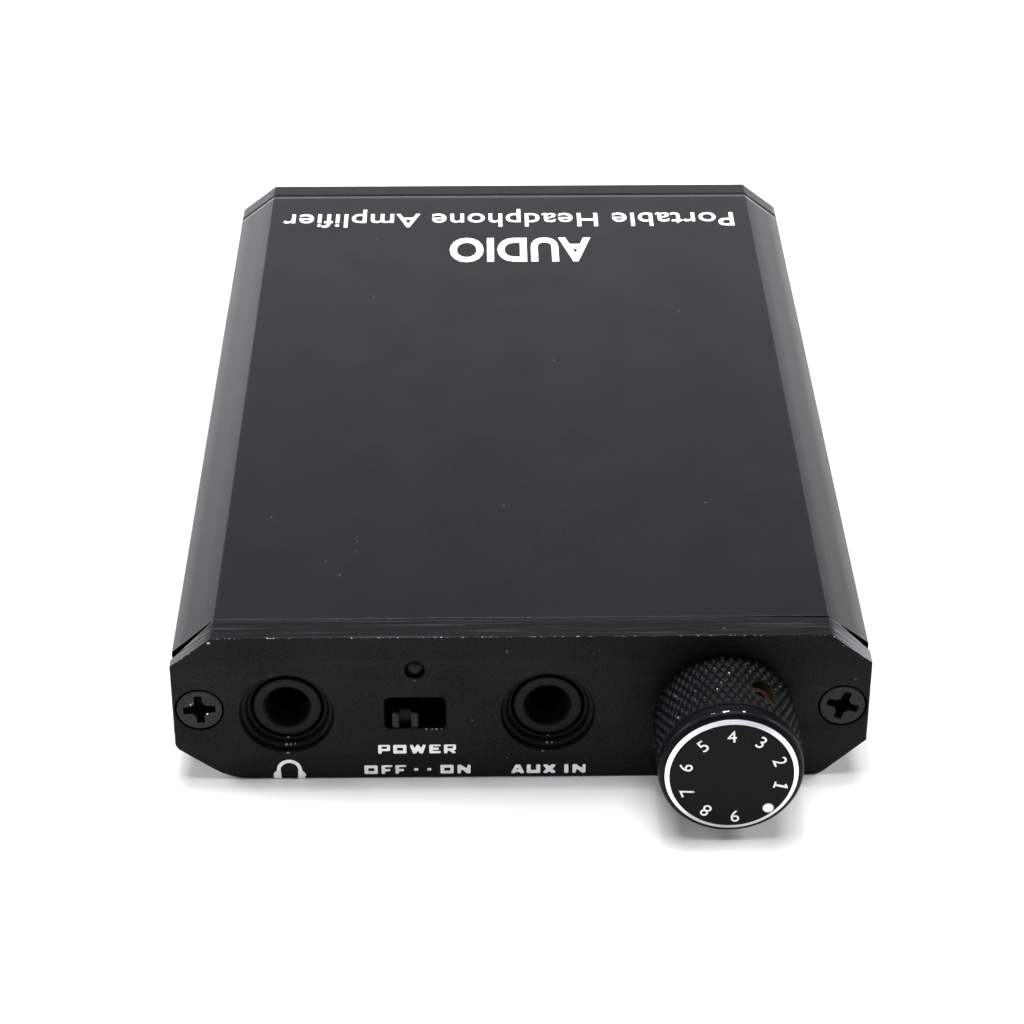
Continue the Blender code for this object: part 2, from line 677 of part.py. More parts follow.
def build_volume_control():
    """The potentiometer: housing with bushing, track plate, cover and terminals, and the shaft and wiper that turn."""
    at = Vector((VOLUME_X, FRONT_Y, AXIS_Z))
    half, low, high = 4.8 * MM, AXIS_Z - 5.0 * MM, AXIS_Z + 5.0 * MM
    near, far = PLATE + 0.45 * MM, 8.45 * MM
    housing = box((VOLUME_X - half, depth(near), low), (VOLUME_X + half, depth(far), high))
    bushing = [(0.0, -0.6 * MM), (3.45 * MM, -0.6 * MM), (3.45 * MM, -near - 1.0 * MM), (0.0, -near - 1.0 * MM)]
    chamber = 6.0 * MM
    hollow = [
        (0.0, 1.0 * MM),
        (SHAFT_BORE_R, 1.0 * MM),
        (SHAFT_BORE_R, -chamber),
        (4.1 * MM, -chamber),
        (4.1 * MM, -far - 1.0 * MM),
        (0.0, -far - 1.0 * MM),
    ]
    join(housing, turned(bushing, at))
    cut(housing, turned(hollow, at))
    finish(housing, "volume_control_housing", TINNED_METAL)

    plate_half = 4.6 * MM
    track_near, track_far = far + 0.1 * MM, far + 0.7 * MM
    track = box((VOLUME_X - plate_half, depth(track_near), 2.7 * MM), (VOLUME_X + plate_half, depth(track_far), 12.2 * MM))
    finish(track, "volume_control_track", PHENOLIC, smooth=False)

    cover_low, cover_far, wall = 5.2 * MM, 11.0 * MM, 0.35 * MM
    cover_near = track_far + GAP
    cover = box((VOLUME_X - half, depth(cover_near), cover_low), (VOLUME_X + half, depth(cover_far), high))
    inside_low = (VOLUME_X - half + wall, depth(cover_near - 1.0 * MM), cover_low + wall)
    cut(cover, box(inside_low, (VOLUME_X + half - wall, depth(cover_far - wall), high - wall)))
    finish(cover, "volume_control_cover", TINNED_METAL, smooth=False)

    # Each terminal leaves the track, runs back over the board and goes down through it.
    sheet = 0.3 * MM
    run_z, pin_depth = BOARD_TOP + 0.5 * MM, 14.0 * MM
    start_depth = track_far + 0.3 * MM
    for number, offset in enumerate((-2.5 * MM, 0.0, 2.5 * MM), 1):
        x, pin_y = pin_hole(VOLUME_X + offset, pin_depth)
        # The ribbon's X becomes the row's Y, and its Y becomes height.
        path = [(depth(start_depth), 4.95 * MM), (depth(start_depth), run_z), (pin_y, run_z), (pin_y, PIN_END_Z)]
        terminal = ribbon(path, 0.8 * MM, sheet)
        upright = Matrix.Rotation(math.radians(90), 4, "Z") @ Matrix.Rotation(math.radians(90), 4, "X")
        turn_mesh(terminal, Matrix.Translation((x, 0.0, 0.0)) @ upright)
        finish(terminal, f"volume_control_terminal_{number}", TINNED_METAL, smooth=False)

    axle = pivot("volume_axis", at)
    nose, shoulder, stub_end, edge = -8.6 * MM, 5.6 * MM, 7.6 * MM, 0.3 * MM
    shaft_profile = [
        (0.0, -nose),
        (SHAFT_R - edge, -nose),
        (SHAFT_R, -nose - edge),
        (SHAFT_R, -shoulder),
        (1.5 * MM, -shoulder),
        (1.5 * MM, -stub_end),
        (0.0, -stub_end),
    ]
    shaft = turned(shaft_profile, at)
    # The flat that the knob's set screw bears on.
    flat_at, flat_length = 2.5 * MM, 8.0 * MM
    flat = box((-SHAFT_R, -flat_length / 2, flat_at), (SHAFT_R, flat_length / 2, SHAFT_R + 1.0 * MM))
    turn_mesh(flat, Matrix.Translation(flat.location))
    turn_mesh(flat, Matrix.Rotation(SET_SCREW_ANGLE, 4, "Y"))
    flat.location = at + Vector((0.0, nose + flat_length / 2 - 0.5 * MM, 0.0))
    cut(shaft, flat)
    finish(shaft, "volume_control_shaft", TINNED_METAL, axle)

    disc_near, disc_far, disc_r, hub_r = 6.3 * MM, 7.1 * MM, 3.8 * MM, 1.58 * MM
    disc = [(hub_r, -disc_near), (disc_r, -disc_near), (disc_r, -disc_far), (hub_r, -disc_far), (hub_r, -disc_near)]
    wiper = turned(disc, at)
    for radius in (2.2 * MM, 3.2 * MM):
        finger_low = (VOLUME_X - 0.3 * MM, depth(disc_far - 0.4 * MM), AXIS_Z + radius - 0.2 * MM)
        join(wiper, box(finger_low, (VOLUME_X + 0.3 * MM, depth(8.3 * MM), AXIS_Z + radius + 0.2 * MM)))
    finish(wiper, "volume_control_wiper", BRASS, axle)
    return axle


def build_knob(axle):
    """The turned aluminium knob and the set screw that holds it on the shaft."""
    at = Vector((VOLUME_X, FRONT_Y, AXIS_Z))
    face, back = KNOB_LENGTH, KNOB_BACK
    profile = [
        (0.0, face),
        (5.6 * MM, face),
        (6.15 * MM, face - 0.24 * MM),
        (6.65 * MM, face - 0.7 * MM),
        (6.65 * MM, face - 1.75 * MM),
        (6.45 * MM, face - 1.85 * MM),
        (6.45 * MM, face - 2.0 * MM),
        (KNOB_R, face - 2.15 * MM),
        (KNOB_R, back + 0.3 * MM),
        (KNOB_R - 0.3 * MM, back),
        (5.0 * MM, back),
        (5.0 * MM, back + 1.2 * MM),
        (SHAFT_BORE_R, back + 1.2 * MM),
        (SHAFT_BORE_R, 8.8 * MM),
        (0.0, 8.8 * MM),
    ]
    knob = turned(profile, at, steps=48)
    outward = Vector((math.sin(SET_SCREW_ANGLE), 0.0, math.cos(SET_SCREW_ANGLE)))
    hole_at = at + Vector((0.0, -SET_SCREW_FROM_FACE, 0.0))
    hole_r, screw_r = 1.5 * MM, 1.38 * MM
    cut(knob, bore(hole_at + outward * 5.0 * MM, hole_r, 6.0 * MM, outward, 20))
    finish(knob, "volume_knob", BLACK_ALUMINIUM, axle)

    tip, top, socket_r = 2.6 * MM, 5.0 * MM, 0.75 * MM
    profile = [
        (0.0, top),
        (screw_r - 0.2 * MM, top),
        (screw_r, top - 0.2 * MM),
        (screw_r, tip + 0.4 * MM),
        (screw_r - 0.5 * MM, tip),
        (0.0, tip),
    ]
    set_screw = turned(profile, hole_at, outward, 20)
    cut(set_screw, bore(hole_at + outward * top, socket_r, 2.2 * MM, outward, 6))
    finish(set_screw, "knob_set_screw", BRASS, axle)


# ---------------------------------------------------------------- cell and its leads


def smooth_route(route, samples):
    """Points along the curve that passes through each point of the route (Catmull-Rom)."""
    padded = [2 * route[0] - route[1], *route, 2 * route[-1] - route[-2]]
    points = []
    for a, b, c, d in zip(padded, padded[1:], padded[2:], padded[3:]):
        for k in range(samples):
            t = k / samples
            points.append(
                0.5 * (2 * b + (c - a) * t + (2 * a - 5 * b + 4 * c - d) * t**2 + (3 * b - a - 3 * c + d) * t**3)
            )
    points.append(route[-1])
    return points


def build_cell():
    """The flat lithium cell on its foam pad, its protection board, and its lead with the plug in a board socket."""
    width, length, height = CELL
    cell = box(
        (-width / 2, depth(CELL_FRONT), CELL_BOTTOM),
        (width / 2, depth(CELL_FRONT + length), CELL_BOTTOM + height),
        rounding=1.0 * MM,
        segments=3,
    )
    finish(cell, "battery_cell", CELL_FOIL)
    pad_top = CELL_BOTTOM - 0.1 * MM
    pad = box((-12 * MM, depth(40 * MM), BOARD_TOP + 0.1 * MM), (12 * MM, depth(80 * MM), pad_top))
    finish(pad, "battery_foam_pad", FOAM, smooth=False)
    guard_top = 9.4 * MM
    guard = box((-15 * MM, depth(31.8 * MM), 8.2 * MM), (15 * MM, depth(CELL_FRONT - GAP), guard_top))
    finish(guard, "battery_protection_board", BOARD_GREEN, smooth=False)

    middle_x, middle = 20.0 * MM, 24.75 * MM
    socket = box(
        (middle_x - 3.0 * MM, depth(middle - 2.25 * MM), BOARD_TOP + GAP),
        (middle_x + 3.0 * MM, depth(middle + 2.25 * MM), 10.25 * MM),
    )
    hollow = box(
        (middle_x - 2.5 * MM, depth(middle - 1.75 * MM), 5.7 * MM),
        (middle_x + 2.5 * MM, depth(middle + 1.75 * MM), 12.0 * MM),
    )
    cut(socket, hollow)
    finish(socket, "battery_socket", WHITE_PLASTIC, smooth=False)
    plug_top = 11.0 * MM
    plug = box(
        (middle_x - 2.35 * MM, depth(middle - 1.6 * MM), 5.85 * MM),
        (middle_x + 2.35 * MM, depth(middle + 1.6 * MM), plug_top),
        rounding=0.2 * MM,
        segments=1,
    )
    finish(plug, "battery_plug", WHITE_PLASTIC, smooth=False)

    for colour, surface, offset, end_x in (("red", RED_WIRE, -1.0, 11.0), ("black", BLACK_WIRE, 1.0, 13.0)):
        x = middle_x + offset * MM
        route = [
            Vector((x, depth(middle), plug_top + 0.2 * MM)),
            Vector((x, depth(middle + 0.4 * MM), 12.4 * MM)),
            Vector((x - 2.0 * MM, depth(28.5 * MM), 13.1 * MM)),
            Vector((end_x * MM + 1.8 * MM, depth(32.0 * MM), 12.0 * MM)),
            Vector((end_x * MM, depth(33.4 * MM), guard_top + 0.55 * MM)),
        ]
        finish(tube(smooth_route(route, 4), 0.6 * MM, 2), f"battery_lead_{colour}", surface)


# ---------------------------------------------------------------- chips, capacitors and coil


def build_chip(name, x, behind, pairs=4):
    """A small-outline chip: moulded body and gull-wing legs along its two long sides."""
    pitch, body_half, seat, top = 1.27 * MM, 1.95 * MM, BOARD_TOP + 0.25 * MM, BOARD_TOP + 1.7 * MM
    length_half = (pairs * pitch) / 2 - 0.05 * MM
    y = depth(behind)
    chip = box((x - body_half, y - length_half, seat), (x + body_half, y + length_half, top))
    shoulder = (seat + top) / 2
    foot, sheet = BOARD_TOP + 0.05 * MM, 0.2 * MM
    for side in (-1, 1):
        # The leg's outline from the body out, down and along the board.
        leg = [
            (body_half - 0.3 * MM, shoulder + sheet),
            (body_half - 0.3 * MM, shoulder),
            (body_half + 0.35 * MM, shoulder),
            (body_half + 0.35 * MM, foot),
            (body_half + 1.05 * MM, foot),
            (body_half + 1.05 * MM, foot + sheet),
            (body_half + 0.55 * MM, foot + sheet),
            (body_half + 0.55 * MM, shoulder + sheet),
        ]
        outline = [(x + side * px, pz) for px, pz in leg]
        for k in range(pairs):
            along = behind + (k - (pairs - 1) / 2) * pitch
            join(chip, prism_along_y([outline], along - 0.2 * MM, along + 0.2 * MM))
    finish(chip, name, BLACK_PLASTIC, smooth=False)


def build_capacitor(name, x, behind):
    """An electrolytic can on its square base."""
    half, base_top, can_r, can_top = 3.3 * MM, BOARD_TOP + 1.2 * MM, 3.15 * MM, BOARD_TOP + 7.7 * MM
    y = depth(behind)
    can_profile = [
        (0.0, can_top),
        (can_r - 0.4 * MM, can_top),
        (can_r, can_top - 0.4 * MM),
        (can_r, base_top + 1.2 * MM),
        (can_r - 0.25 * MM, base_top + 0.9 * MM),
        (can_r, base_top + 0.6 * MM),
        (can_r, BOARD_TOP + 0.6 * MM),
        (0.0, BOARD_TOP + 0.6 * MM),
    ]
    base = prism_along_z([rectangle((x - half, y - half), (x + half, y + half), 0.8 * MM, 1)], BOARD_TOP + GAP, base_top)
    join(base, turned(can_profile, (x, y, 0.0), (0, 0, 1), 20))
    finish(base, name, TINNED_METAL)


def build_film_capacitor(name, x, behind):
    """A boxed film capacitor standing on edge."""
    low = (x - 1.25 * MM, depth(behind - 3.6 * MM), BOARD_TOP + GAP)
    made = box(low, (x + 1.25 * MM, depth(behind + 3.6 * MM), BOARD_TOP + 6.6 * MM), rounding=0.25 * MM, segments=1)
    finish(made, name, WHITE_PLASTIC, smooth=False)


def build_coil(name, x, behind):
    """The charger's coil: a drum core on the board."""
    low, top = BOARD_TOP + GAP, BOARD_TOP + 3.0 * MM
    flange_r, waist_r, rim = 2.7 * MM, 1.9 * MM, 0.6 * MM
    profile = [
        (0.0, top),
        (flange_r, top),
        (flange_r, top - rim),
        (waist_r, top - rim),
        (waist_r, low + rim),
        (flange_r, low + rim),
        (flange_r, low),
        (0.0, low),
    ]
    finish(turned(profile, (x, depth(behind), 0.0), (0, 0, 1), 20), name, BLACK_PLASTIC)


def build_electronics():
    """What stands on the board between the jacks and the cell, and behind the cell."""
    build_chip("amplifier_chip", -8.0 * MM, 21.0 * MM)
    build_chip("output_buffer_chip", -8.0 * MM, 28.0 * MM)
    build_chip("supply_splitter_chip", 1.0 * MM, 28.0 * MM)
    build_chip("charger_chip", -11.0 * MM, 90.3 * MM)
    places = [(x * MM, y * MM) for x in (-23.6, -16.4) for y in (21.2, 28.2)]
    for number, (x, y) in enumerate(places, 1):
        build_capacitor(f"supply_capacitor_{number}", x, y)
    build_film_capacitor("left_coupling_capacitor", 6.6 * MM, 22.0 * MM)
    build_film_capacitor("right_coupling_capacitor", 10.0 * MM, 22.0 * MM)
    build_coil("charger_coil", 19.5 * MM, 90.3 * MM)


# ---------------------------------------------------------------- charging socket


def build_charging_socket():
    """The charging socket: a metal shell, narrower below, and the insulator with its tongue."""
    low, high, shoulder = BOARD_TOP + GAP, 6.95 * MM, 5.35 * MM
    near, far, wall = 92.0 * MM, 97.6 * MM, 0.3 * MM
    outer = mirrored([(2.9 * MM, low), (3.75 * MM, shoulder), (3.75 * MM, high)])
    inner = mirrored([(2.9 * MM - 0.15 * MM, low + wall), (3.75 * MM - wall, shoulder + 0.08 * MM), (3.75 * MM - wall, high - wall)])
    shell = prism_along_y([outer, inner], near, far)
    shell.location.x = SOCKET_X
    finish(shell, "charging_socket_shell", TINNED_METAL, smooth=False)

    back = prism_along_y([outer], near - 1.0 * MM, near - GAP)
    tongue_z = 5.95 * MM
    tongue = box(
        (SOCKET_X - 1.8 * MM, depth(near - 0.6 * MM), tongue_z - 0.3 * MM),
        (SOCKET_X + 1.8 * MM, depth(far - 1.2 * MM), tongue_z + 0.3 * MM),
    )
    back.location.x = SOCKET_X
    join(back, tongue)
    finish(back, "charging_socket_tongue", BLACK_PLASTIC, smooth=False)


# ---------------------------------------------------------------- the amplifier

build_case()
build_jack("headphone", HEADPHONE_X)
build_jack("aux", AUX_X)
build_switch()
build_lamp("power", SWITCH_X, LAMP_Z, 0.0, 1, 10.2 * MM)
build_knob(build_volume_control())
build_cell()
build_electronics()
build_charging_socket()
build_lamp("charge", CHARGE_LAMP_X, AXIS_Z, CASE_LENGTH, -1, 7.0 * MM)
build_board()
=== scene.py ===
import math

import bpy
import numpy as np
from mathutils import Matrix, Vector
from mathutils.geometry import tessellate_polygon


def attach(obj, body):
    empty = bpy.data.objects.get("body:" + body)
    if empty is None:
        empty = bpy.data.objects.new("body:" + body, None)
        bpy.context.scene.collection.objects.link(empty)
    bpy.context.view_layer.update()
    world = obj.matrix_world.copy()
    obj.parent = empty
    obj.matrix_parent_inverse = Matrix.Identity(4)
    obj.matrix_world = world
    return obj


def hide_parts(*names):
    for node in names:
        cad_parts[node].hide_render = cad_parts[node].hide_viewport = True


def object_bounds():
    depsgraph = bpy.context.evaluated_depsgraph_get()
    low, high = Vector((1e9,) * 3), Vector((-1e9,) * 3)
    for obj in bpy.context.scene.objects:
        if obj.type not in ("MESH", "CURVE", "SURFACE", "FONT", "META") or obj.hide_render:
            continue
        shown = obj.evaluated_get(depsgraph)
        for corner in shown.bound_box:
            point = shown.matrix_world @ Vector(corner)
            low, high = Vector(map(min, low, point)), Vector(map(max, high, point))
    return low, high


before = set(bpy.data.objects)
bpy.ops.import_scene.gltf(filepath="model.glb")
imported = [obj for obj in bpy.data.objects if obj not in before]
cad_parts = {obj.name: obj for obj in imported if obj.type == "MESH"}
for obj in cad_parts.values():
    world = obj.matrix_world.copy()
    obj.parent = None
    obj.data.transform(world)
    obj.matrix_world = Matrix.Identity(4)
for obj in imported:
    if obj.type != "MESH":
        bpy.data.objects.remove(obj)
cad_low, cad_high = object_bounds()

# ---------------------------------------------------------------- case sleeve
# The sleeve is one aluminium extrusion, cut to length and anodised satin black. Rails inside hold the board's
# edges, and the two round ports take the end plates' screws. Its corners are softened by the extrusion die.

MM = 0.001
front_y = cad_low.y + 10 * MM
rear_y = cad_high.y
case_half = cad_high.x
case_top = 16.0 * MM
print_height = 0.02 * MM
corner_radius = 0.2 * MM
arc_steps = 4
seam_depth = 3.2 * MM
wall = 1.5 * MM
port_x, port_z, port_radius, port_bore = 30.0 * MM, 8.0 * MM, 2.3 * MM, 1.3 * MM


def mirrored(right_half):
    """A closed outline from its right half, which runs from bottom to top."""
    return right_half + [(-x, z) for x, z in reversed(right_half)]


def case_corners():
    """The case's eight corners as X and Z. The upper chamfers are 4.0 by 3.1 mm, and the lower ones 4.3 by 4.0 mm."""
    top, half = case_top - print_height, case_half
    return mirrored([(half - 4.3 * MM, 0.0), (half, 4.0 * MM), (half, top - 3.1 * MM), (half - 4.0 * MM, top)])


def rounded(corners, radius, inset=0.0):
    """A closed outline with rounded corners. With a and b the unit vectors from a corner to its neighbours, the
    arc's centre is corner + radius / sin(half angle) * unit(a + b), and the arc turns from the normal of the edge
    that comes in to that of the edge that goes out. An arc takes up less than half of either side. An inset shortens
    the arcs that bulge and lengthens the others."""
    corner = np.asarray(corners, float)
    a = np.roll(corner, 1, 0) - corner
    b = np.roll(corner, -1, 0) - corner
    a_length = np.linalg.norm(a, axis=1, keepdims=True)
    b_length = np.linalg.norm(b, axis=1, keepdims=True)
    a, b = a / a_length, b / b_length
    middle = (a + b) / np.linalg.norm(a + b, axis=1, keepdims=True)
    half = np.arccos(np.clip((a * b).sum(1), -1, 1)) / 2
    radius = np.minimum(radius, 0.48 * np.minimum(a_length, b_length)[:, 0] * np.tan(half))
    bulge = np.sign(-a[:, 0] * b[:, 1] + a[:, 1] * b[:, 0])
    centre = corner + middle * (radius / np.sin(half))[:, None]
    normal_in = np.stack([-a[:, 1], a[:, 0]], 1)
    normal_out = np.stack([b[:, 1], -b[:, 0]], 1)
    turn = math.pi - 2 * half
    t = np.linspace(0, 1, arc_steps + 1)
    weight_in = np.sin((1 - t) * turn[:, None]) / np.sin(turn)[:, None]
    weight_out = np.sin(t * turn[:, None]) / np.sin(turn)[:, None]
    aim = weight_in[..., None] * normal_in[:, None] + weight_out[..., None] * normal_out[:, None]
    reach = bulge * (radius - bulge * inset)
    return (centre[:, None] + reach[:, None, None] * aim).reshape(-1, 2)


def divided(loop, counts):
    """The closed loop with each side cut into its count of equal lengths: point + (next - point) * k / count."""
    side = np.repeat(np.arange(len(loop)), counts)
    step = np.arange(counts.sum()) - np.repeat(np.cumsum(counts) - counts, counts)
    share = (step / counts[side])[:, None]
    return loop[side] + (np.roll(loop, -1, 0)[side] - loop[side]) * share


def carried(corners, radius, profile, length=2 * MM):
    """A rounded outline carried along a profile of (inset, distance, wear). Gives the points as an array of stations
    by points by (across, up, along), each point's wear, and which columns lie on an arc."""
    base = rounded(corners, radius)
    sides = np.linalg.norm(np.roll(base, -1, 0) - base, axis=1)
    counts = np.maximum(1, np.ceil(sides / length)).astype(int)
    loops = [divided(rounded(corners, radius, inset=min(i, 0.98 * np.min(radius))), counts) for i, _, _ in profile]
    along = np.array([d for _, d, _ in profile])
    points = np.concatenate(
        [np.array(loops), np.broadcast_to(along[:, None, None], (len(profile), counts.sum(), 1))], 2
    )
    wear_and_painted_light = np.repeat([w for _, _, w in profile], counts.sum())
    column = np.repeat(np.arange(len(base)), counts)
    return points, wear_and_painted_light, column % (arc_steps + 1) != arc_steps


def ringed(centre, profile, count=64):
    """A circle carried along a profile of (radius, distance, wear): centre + radius * (cos, sin)."""
    turn = np.linspace(0, 2 * math.pi, count, endpoint=False)
    profile = np.asarray(profile, float)
    across = centre[0] + profile[:, :1] * np.cos(turn)
    up = centre[1] + profile[:, :1] * np.sin(turn)
    along = np.broadcast_to(profile[:, 1:2], across.shape)
    return np.stack([across, up, along], -1), np.repeat(profile[:, 2], count), np.ones(count, bool)


def end_face(loops, starts, forwards):
    """Triangles between an outer loop and the loops of its holes, turned to look along the sweep or against it."""
    flat = np.concatenate(loops)
    numbers = np.concatenate([s + np.arange(len(loop)) for s, loop in zip(starts, loops)])
    triangles = np.array(tessellate_polygon([[Vector((p[0], p[1], 0)) for p in loop] for loop in loops]))
    a, b, c = (flat[triangles[:, k]] for k in range(3))
    area = (b[:, 0] - a[:, 0]) * (c[:, 1] - a[:, 1]) - (b[:, 1] - a[:, 1]) * (c[:, 0] - a[:, 0])
    if (area.sum() > 0) != forwards:
        triangles = triangles[:, ::-1]
    return numbers[triangles]


def solid(edge, *holes):
    """One closed body from a swept edge and the swept holes through it, with a flat face at each end of the sweep."""
    points, wears, faces, smooth, starts = [], [], [], [], []
    start = 0
    for number, (section, wear_and_painted_light, curved) in enumerate([edge, *holes]):
        stations, count = section.shape[:2]
        grid = start + np.arange(stations * count).reshape(stations, count)
        near, far = grid[:-1], grid[1:]
        quads = np.stack([near, np.roll(near, -1, 1), np.roll(far, -1, 1), far], -1)
        if number:
            quads = quads[..., ::-1]
        faces += quads.reshape(-1, 4).tolist()
        smooth += np.tile(curved, stations - 1).tolist()
        points.append(section.reshape(-1, 3))
        wears.append(wear_and_painted_light)
        starts.append(start)
        start += stations * count
    sections = [part[0] for part in (edge, *holes)]
    ends = [s + (len(part) - 1) * part.shape[1] for s, part in zip(starts, sections)]
    for loops, numbers, forwards in (
        ([part[0] for part in sections], starts, False),
        ([part[-1] for part in sections], ends, True),
    ):
        triangles = end_face([loop[:, :2] for loop in loops], numbers, forwards)
        faces += triangles.tolist()
        smooth += [False] * len(triangles)
    return np.concatenate(points), faces, smooth, np.concatenate(wears)


def put_mesh(name, points, faces, smooth=True, wear_and_painted_light=None, upright=False):
    """Makes the object. An upright mesh comes as (across, up, depth), which is X, Z, Y, so its faces are turned."""
    mesh = bpy.data.meshes.new(name)
    if upright:
        points = points[:, (0, 2, 1)]
        faces = [face[::-1] for face in faces]
    mesh.from_pydata(points.tolist(), [], faces)
    mesh.polygons.foreach_set("use_smooth", np.broadcast_to(smooth, len(faces)).astype(bool))
    mesh.set_sharp_from_angle(angle=math.radians(50))
    if wear_and_painted_light is not None:
        mesh.attributes.new("wear_and_painted_light", "FLOAT", "POINT").data.foreach_set("value", wear_and_painted_light.astype(np.float32))
    mesh.update()
    piece = bpy.data.objects.new(name, mesh)
    bpy.context.scene.collection.objects.link(piece)
    return piece


def node(tree, kind, inputs=None, **settings):
    """Adds a shader node. inputs maps a socket to a value, or to the output that feeds it."""
    made = tree.nodes.new(kind)
    for key, value in settings.items():
        setattr(made, key, value)
    for key, value in (inputs or {}).items():
        if isinstance(value, bpy.types.NodeSocket):
            tree.links.new(value, made.inputs[key])
        else:
            made.inputs[key].default_value = value
    return made


def shader_group(name, inputs, outputs):
    """An empty shader node group with its sockets: inputs as (name, kind, default), outputs as (name, kind)."""
    group = bpy.data.node_groups.new(name, "ShaderNodeTree")
    for label, kind, default in inputs:
        socket = group.interface.new_socket(label, in_out="INPUT", socket_type=kind)
        if default is not None:
            socket.default_value = default
    for label, kind in outputs:
        group.interface.new_socket(label, in_out="OUTPUT", socket_type=kind)
    return group, group.nodes.new("NodeGroupInput").outputs, group.nodes.new("NodeGroupOutput").inputs


def ramp(tree, value, low, high):
    """A smooth step from 0 at low to 1 at high."""
    return node(
        tree,
        "ShaderNodeMapRange",
        {"Value": value, "From Min": low, "From Max": high},
        interpolation_type="SMOOTHSTEP",
    ).outputs["Result"]


def maths(tree, operation, a, b=0.5):
    """One arithmetic step."""
    return node(tree, "ShaderNodeMath", {0: a, 1: b}, operation=operation).outputs[0]


FLOAT, COLOUR, VECTOR = "NodeSocketFloat", "NodeSocketColor", "NodeSocketVector"

# Worn edges: noise broken into flecks, let through where the piece's wear is high.
edge_wear, given, out = shader_group(
    "edge_wear", [("Place", VECTOR, None), ("Wear", FLOAT, 0.0), ("Scale", FLOAT, 900.0)], [("Mask", FLOAT)]
)
flecks = node(edge_wear, "ShaderNodeTexNoise", {"Vector": given["Place"], "Scale": given["Scale"], "Detail": 3.0})
reach = maths(edge_wear, "MULTIPLY", given["Wear"], 0.5)
shown = maths(edge_wear, "ADD", flecks.outputs["Fac"], reach)
edge_wear.links.new(ramp(edge_wear, shown, 1.0, 1.07), out["Mask"])

# Fine grain: two sizes of noise, for the height of a bump and for the shade of a colour.
fine_grain, given, out = shader_group(
    "fine_grain", [("Place", VECTOR, None), ("Scale", FLOAT, 5000.0)], [("Height", FLOAT), ("Shade", FLOAT)]
)
small = node(fine_grain, "ShaderNodeTexNoise", {"Vector": given["Place"], "Scale": given["Scale"], "Detail": 2.0})
wide_scale = maths(fine_grain, "MULTIPLY", given["Scale"], 0.03)
wide = node(fine_grain, "ShaderNodeTexNoise", {"Vector": given["Place"], "Scale": wide_scale, "Detail": 4.0})
fine_grain.links.new(small.outputs["Fac"], out["Height"])
small_share = maths(fine_grain, "MULTIPLY", small.outputs["Fac"], 0.68)
wide_share = maths(fine_grain, "MULTIPLY", wide.outputs["Fac"], 0.32)
fine_grain.links.new(maths(fine_grain, "ADD", small_share, wide_share), out["Shade"])

# Streaks: noise drawn out along one direction by the stretch given for each axis.
streaks, given, out = shader_group(
    "streaks", [("Place", VECTOR, None), ("Stretch", VECTOR, (1.0, 1.0, 1.0))], [("Value", FLOAT)]
)
drawn = node(streaks, "ShaderNodeVectorMath", {0: given["Place"], 1: given["Stretch"]}, operation="MULTIPLY")
lines = node(streaks, "ShaderNodeTexNoise", {"Vector": drawn.outputs[0], "Scale": 1.0, "Detail": 2.0})
streaks.links.new(lines.outputs["Fac"], out["Value"])

# Dust: a few small grains, each a dot round a scattered point that a random number lets through.
dust, given, out = shader_group(
    "dust", [("Place", VECTOR, None), ("Scale", FLOAT, 700.0), ("Share", FLOAT, 0.06)], [("Mask", FLOAT)]
)
grains = node(dust, "ShaderNodeTexVoronoi", {"Vector": given["Place"], "Scale": given["Scale"]})
dot = maths(dust, "SUBTRACT", 1.0, ramp(dust, grains.outputs["Distance"], 0.05, 0.12))
pick = node(dust, "ShaderNodeSeparateColor", {0: grains.outputs["Color"]})
chosen = maths(dust, "LESS_THAN", pick.outputs[0], given["Share"])
dust.links.new(maths(dust, "MULTIPLY", dot, chosen), out["Mask"])


def use_group(tree, group, **inputs):
    """Places a group in a material and gives its outputs."""
    placed = node(tree, "ShaderNodeGroup", node_tree=group)
    for key, value in inputs.items():
        if isinstance(value, bpy.types.NodeSocket):
            tree.links.new(value, placed.inputs[key])
        else:
            placed.inputs[key].default_value = value
    return placed.outputs


def blend_colour(tree, share, a, b):
    """A mix of two colours by a share."""
    mix = node(tree, "ShaderNodeMix", {"Factor": share}, data_type="RGBA")
    for number, value in ((6, a), (7, b)):
        if isinstance(value, bpy.types.NodeSocket):
            tree.links.new(value, mix.inputs[number])
        else:
            mix.inputs[number].default_value = (*value, 1.0)
    return mix.outputs[2]


def blend_value(tree, share, a, b):
    """A mix of two numbers by a share."""
    return node(tree, "ShaderNodeMix", {"Factor": share, "A": a, "B": b}).outputs["Result"]


def surface(name, roughness=0.5, metallic=0.0, specular=0.5):
    """A new material: its tree, its Principled shader, and the object coordinates."""
    made = bpy.data.materials.new(name)
    made.use_nodes = True
    tree = made.node_tree
    shader = tree.nodes["Principled BSDF"]
    shader.inputs["Roughness"].default_value = roughness
    shader.inputs["Metallic"].default_value = metallic
    shader.inputs["Specular IOR Level"].default_value = specular
    return made, tree, shader, tree.nodes.new("ShaderNodeTexCoord").outputs["Object"]


def feed(tree, shader, height, bump, deep=0.02 * MM, **inputs):
    """Feeds the shader's inputs, named with _ for a space, and its normal from a bump of the given strength."""
    for key, value in inputs.items():
        tree.links.new(value, shader.inputs[key.replace("_", " ")])
    dent = node(tree, "ShaderNodeBump", {"Strength": bump, "Distance": deep, "Height": height})
    tree.links.new(dent.outputs["Normal"], shader.inputs["Normal"])


